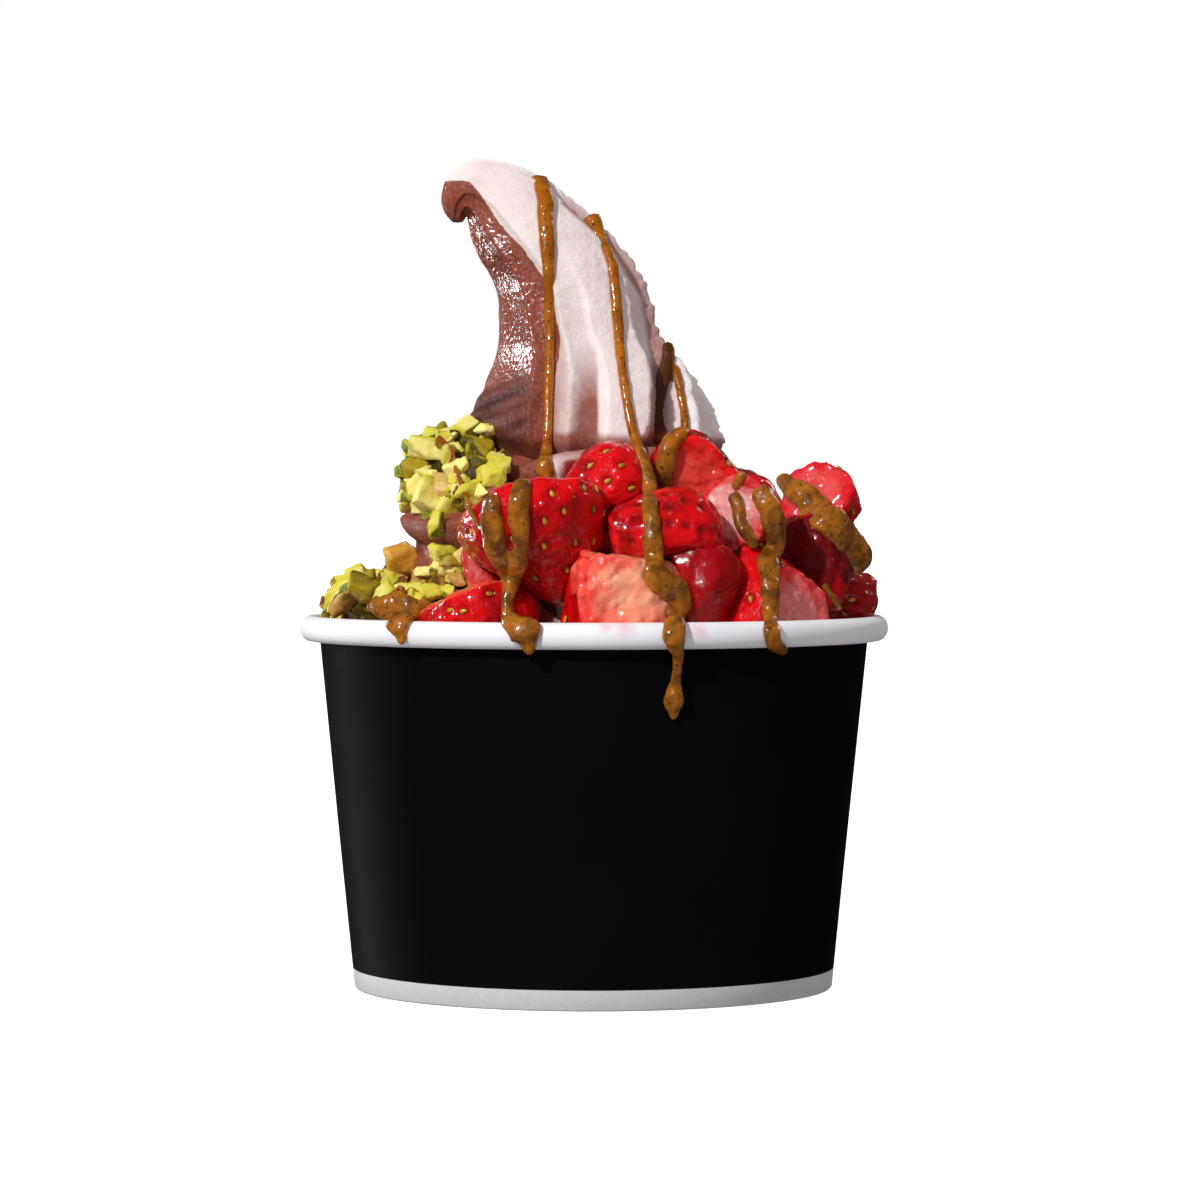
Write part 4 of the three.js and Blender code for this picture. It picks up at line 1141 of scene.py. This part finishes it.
def makeBank(name, bank, chips, finish):
    rng = random.Random(name)
    core = bankCore(bank)
    tree = joinTrees([softServe, core])
    copies = []
    number = 0
    for x, z, size, kind in bank["pieces"]:
        bits = [(x, z, size * bank["share"], kind)]
        for j in range(bank["bits"]):
            turn = rng.uniform(0, 6.28)
            apart = rng.uniform(1.2, 3.4)
            size = rng.uniform(2, 4)
            atX, atZ = x + apart * math.cos(turn), z + apart * math.sin(turn)
            bits.append((atX, atZ, size, rng.choice(bank["kinds"])))
        for atX, atZ, across, tint in bits:
            place, normal, back = lookAt(atX, atZ, 0, tree)
            if place is not None:
                lift = rng.uniform(0.05, 0.4) * across * mm
                copies.append(chipCopy(chips, place + normal * lift, across, tint, rng, number))
                number += 1
    for i in range(bank["hidden"]):
        share = (i + 0.5) / bank["hidden"]
        turn = math.radians(bank["hiddenFrom"] + (bank["to"] - bank["hiddenFrom"]) * share)
        steep = -0.5 + 1.9 * ((i * 3) % 5) / 4 + rng.uniform(0, 0.25)
        out = bank["ring"] + bank["tube"] * math.cos(steep)
        height = bank["height"] + bank["tube"] * math.sin(steep)
        place = Vector((math.sin(turn) * out, -math.cos(turn) * out, height)) * mm
        copies.append(chipCopy(chips, place, rng.uniform(3, 5.4), rng.choice(bank["kinds"]), rng, i))
    piece = joinAll([core] + copies, "pistachio_chips_" + name)
    piece.data.materials.clear()
    piece.data.materials.append(finish)
    smoothShade(piece, 40)
    finishPiece(piece, ["pistachio_" + name])
    return piece


chips = makeChips()
nutFinish = pistachioFinish()
nutBanks = [makeBank(name, bank, chips, nutFinish) for name, bank in banks.items()]
for chip in chips:
    bpy.data.objects.remove(chip)
print("pistachios: two banks")


# Sauce: strands that lie on whatever is behind them, seen from the front or from another turn.
# A strand is its turn and its stops, each with x, height and width.
sauce = {
    "step": 0.55, "flatness": 0.42, "thickest": 1.35, "sink": 0.3, "breakAt": 5.5, "cling": 2.2, "voxel": 0.3,
    "strands": [
        (0, [(-8.9, 131.7, 3), (-8, 128.4, 2.8), (-7.6, 121.8, 2.7), (-7.2, 116, 2), (-7, 107.1, 1.9),
             (-7.3, 96, 1.6),
             (-7.5, 89.1, 1.7), (-7.8, 85.5, 2.7), (-8, 81.9, 2.9)]),
        (0, [(-16.5, 78.5, 3.1), (-16.3, 74.4, 4), (-15.2, 70.2, 3.4), (-13.9, 67.6, 2.8)]),
        (0, [(-11.6, 81.6, 3.1), (-12.2, 76.9, 3.4), (-11.8, 72, 2.8), (-12.6, 67.9, 3.1),
             (-13.2, 67.4, 3.1),
             (-13.9, 63, 2.2), (-14, 60.4, 2.2)]),
        (0, [(-13.8, 60.2, 2.4), (-12.7, 58.6, 4), (-10.9, 57.6, 5.8), (-10.7, 56.2, 2.6)]),
        (0, [(-0.3, 125, 3.2), (1.2, 121.6, 2.2), (3, 117.6, 1.9), (3.8, 110, 1.9), (4.7, 100.5, 1.7),
             (6.4, 90.7, 1.7), (8.5, 84.2, 2.3),
             (9.3, 77.7, 2.6), (9.8, 71.2, 3.1), (10, 67.2, 4), (11.8, 65.1, 5), (13.7, 63.3, 5.6),
             (13.1, 60.9, 4)]),
        (0, [(13.1, 60.9, 3.9), (13.2, 57.4, 3.7), (13.2, 54.5, 2), (13.2, 51.2, 1.5),
             (13.1, 46.7, 3.1), (13.1, 44.6, 1.6)]),
        (0, [(12.1, 105.9, 1.8), (12.2, 102.3, 2.4), (11.4, 99, 2.4), (10.7, 95.5, 2.2),
             (10.3, 92.2, 2.4), (10.9, 89.6, 3)]),
        (0, [(13.5, 100.8, 1.3), (14, 98, 1.5), (14.8, 93.6, 1.5), (15.2, 89.2, 1.6)]),
        (0, [(14.2, 89.8, 2.6), (12.6, 88.6, 3), (11.8, 84.6, 3.2), (11.5, 80.8, 2.6)]),
        (0, [(22.2, 88.8, 1.2), (24, 87.3, 2.2), (24.6, 84.5, 2), (23.3, 81.8, 1.2)]),
        (0, [(23.3, 79.6, 2.3), (24.2, 75.4, 2.2), (26, 72.3, 2)]),
        (0, [(27.6, 80.1, 3.4), (28.6, 78, 3.7), (29.4, 75.4, 4), (29.7, 72, 3.1), (28.6, 69.5, 4),
             (28.7, 66.3, 3.4),
             (28.6, 63, 2.8), (28.7, 60.8, 2.8)]),
        (0, [(28.8, 60.6, 2.8), (29.1, 56.5, 2.8), (29.1, 54.9, 1.9)]),
        (0, [(31.8, 81.9, 3), (34.8, 79.6, 4.8), (37.2, 77, 5.2), (39.5, 74.9, 5.2), (42.1, 71.5, 5.4),
             (43.9, 67.7, 4.6)]),
        (0, [(-25.5, 89, 2.2), (-23.5, 88, 1.2), (-22.5, 84.7, 1.2), (-21.1, 80.6, 1.2),
             (-19.8, 77, 1.2), (-18.6, 74.6, 1.2)]),
        (0, [(-30.9, 65.3, 1.9), (-32.2, 63.6, 2.5), (-34.1, 61.4, 4.7)]),
        (0, [(-36.3, 62.2, 2.6), (-34, 61.8, 4.6), (-30.8, 61.4, 5), (-28, 61.6, 2.8)]),
        (0, [(-31.8, 61.6, 5), (-31.6, 59.6, 5), (-31.3, 58.2, 3.4), (-31.2, 57.2, 1.8)]),
        (0, [(37.9, 65.3, 1.4), (39.2, 63.3, 1.4), (40.3, 61.2, 1.1)]),
        (90, [(11, 108, 1.6), (11, 102, 1.4), (9, 92, 1.5), (5, 84, 2.4), (0, 76, 3), (-4, 69, 3.6)]),
        (170, [(2, 116, 1.6), (0, 106, 1.4), (2, 94, 1.5), (5, 84, 2.4), (4, 76, 3.2), (6, 67, 3.6)]),
        (170, [(6.4, 60.5, 3.4), (6.6, 57.2, 3.4), (6.6, 54, 2), (6.6, 50.4, 1.8), (6.6, 47.4, 2.8)]),
    ],
}


# Walks one strand and gives the runs that lie unbroken, each row a place, a way out and a width.
def strandRuns(turn, path, tree):
    length = np.linalg.norm(np.diff(np.array(path)[:, :2], axis=0), axis=1).sum()
    runs = []
    run = []
    for x, z, width in smoothLine(path, max(6, round(length / sauce["step"]))):
        place, normal, back = lookAt(x, z, turn, tree)
        if place is None:
            continue
        if run and (place - run[-1][0]).length > sauce["breakAt"] * mm:
            runs.append(run)
            run = []
        if run and z < 57:
            least = math.hypot(run[-1][0].x, run[-1][0].y) - sauce["cling"] * sauce["step"] / 4.6 * mm
            reach = math.hypot(place.x, place.y)
            if reach < least:
                place.x *= least / reach
                place.y *= least / reach
        run.append((place, (normal * 0.6 + back).normalized(), width))
    runs.append(run)
    return [run for run in runs if len(run) > 3]


def smoothRows(rows, rounds):
    for i in range(rounds):
        rows[1:-1] = rows[1:-1] * 0.5 + (rows[:-2] + rows[2:]) * 0.25
    return rows


def makeStrand(run):
    places = smoothRows(np.array([place for place, normal, width in run]), 3)
    normals = smoothRows(np.array([normal for place, normal, width in run]), 8)
    normals /= np.linalg.norm(normals, axis=1)[:, None]
    widths = np.array([width for place, normal, width in run]) * mm
    tangents = np.gradient(places, axis=0)
    tangents /= np.linalg.norm(tangents, axis=1)[:, None]
    across = np.cross(tangents, normals)
    across /= np.linalg.norm(across, axis=1)[:, None]
    thick = np.minimum(widths * sauce["flatness"], sauce["thickest"] * mm)
    middles = places + normals * (thick * (1 - 2 * sauce["sink"]))[:, None]
    piece = addBall("strand", 16, max(12, len(run) * 2))
    share, angle = ballPlaces(piece)
    reach = np.concatenate([[0], np.cumsum(np.linalg.norm(np.diff(places, axis=0), axis=1))])
    total = reach[-1]
    cap = widths.mean() / 2
    at = share * (total + 2 * cap) - cap
    inner = at.clip(0, total)
    closing = np.sqrt(np.clip(1 - ((at - inner) / cap) ** 2, 0, 1))

    def pickRow(rows):
        return np.stack([np.interp(inner, reach, column) for column in rows.T], 1)

    half = np.interp(inner, reach, widths) / 2 * closing
    lift = np.interp(inner, reach, thick) * closing
    points = pickRow(middles) + pickRow(tangents) * (at - inner)[:, None]
    points += pickRow(across) * (half * np.cos(angle))[:, None]
    points += pickRow(normals) * (lift * np.sin(angle))[:, None]
    placePoints(piece, points)
    faceOut(piece)
    return piece


def makeSauce():
    whole = joinTrees([cupPiece, softServe] + berries + nutBanks)
    strands = []
    for turn, path in sauce["strands"]:
        strands += [makeStrand(run) for run in strandRuns(turn, path, whole)]
    piece = joinAll(strands, "sauce_strands")
    apply(piece, "REMESH", mode="VOXEL", voxel_size=sauce["voxel"] * mm)
    apply(piece, "SMOOTH", factor=0.5, iterations=3)
    points = readPoints(piece)
    lumps = grain(points, 0.0032, 15) * 0.38 + grain(points, 0.0013, 18) * 0.14
    lumps = lumps * smoothStep(0.09, 0.082, points[:, 2]) + grain(points, 0.003, 17) * 0.12
    points += readNormals(piece) * (lumps * mm)[:, None]
    placePoints(piece, points)
    giveValue(piece, "thin", smoothStep(0.082, 0.09, points[:, 2]))
    # painted shade on the strand that lies in the groove right of the third crest
    inGroove = smoothStep(13.3, 12.6, points[:, 0] / mm) * smoothStep(9, 9.6, points[:, 0] / mm)
    giveValue(piece, "deep", inGroove * smoothStep(88.5, 91, points[:, 2] / mm) * (points[:, 1] < 0))
    smoothShade(piece)
    piece.data.materials.clear()
    piece.data.materials.append(sauceFinish())
    finishPiece(piece)
    return piece


saucePiece = makeSauce()
print("sauce: strands and drips")


# Studio: plain pale floor, soft light and the photograph's camera.
studio = {
    "pitch": 88.68, "focal": 4594 / 1200 * 36,
    "fill": 0.4, "fillTint": (0.98, 0.94, 0.97, 1), "gloss": 0.04, "floorGlow": 0.75,
    # each light: turn, power, softness
    "lights": {
        "key": [(57, 0, -36), 2.6, 3], "side": [(79, 0, -130), 0.45, 8],
        "low": [(101, 0, -130), 0.4, 8], "edge": [(62, 0, 140), 0.3, 20],
    },
}


def addLight(name, degrees, power, softness):
    clearSelection()
    bpy.ops.object.light_add(type="SUN", location=(0, 0, 0.5), rotation=[math.radians(d) for d in degrees])
    light = bpy.context.object
    light.name = name
    light.data.energy = power
    light.data.angle = math.radians(softness)


def makeStudio():
    clearSelection()
    bpy.ops.mesh.primitive_plane_add(size=60, location=(0, 0, -0.00002))
    floor = nameIt("studio_floor")
    material, tree, shader = newMaterial("paleFloor")
    setSockets(shader, {"Base Color": (0.9, 0.9, 0.9, 1), "Roughness": 0.9, "Specular IOR Level": 0.0,
        "Emission Color": (1, 1, 1, 1), "Emission Strength": studio["floorGlow"]})
    floor.data.materials.append(material)
    floor.visible_diffuse = floor.visible_glossy = floor.visible_shadow = False
    world = bpy.data.worlds.new("studio")
    bpy.context.scene.world = world
    world.use_nodes = True
    tree = world.node_tree
    tree.nodes.clear()
    paths = addNode(tree, "ShaderNodeLightPath").outputs
    strength = between(tree, paths["Is Glossy Ray"], 0, 1, studio["fill"], studio["gloss"])
    strength = combine(tree, strength, paths["Is Camera Ray"], "MAXIMUM")
    colour = mixColour(tree, paths["Is Camera Ray"], studio["fillTint"], (1, 1, 1, 1))
    glow = addNode(tree, "ShaderNodeBackground", {"Color": colour, "Strength": strength})
    output = addNode(tree, "ShaderNodeOutputWorld")
    tree.links.new(glow.outputs[0], output.inputs["Surface"])
    for name, (degrees, power, softness) in studio["lights"].items():
        addLight(name, degrees, power, softness)
    clearSelection()
    bpy.ops.object.camera_add(location=eye, rotation=(math.radians(studio["pitch"]), 0, 0))
    camera = bpy.context.object
    camera.data.lens = studio["focal"]
    camera.data.sensor_width = 36
    camera.data.clip_start, camera.data.clip_end = 0.05, 100
    bpy.context.scene.camera = camera
    bpy.context.scene.view_settings.view_transform = "Standard"


makeStudio()
print("studio: floor, light and camera")
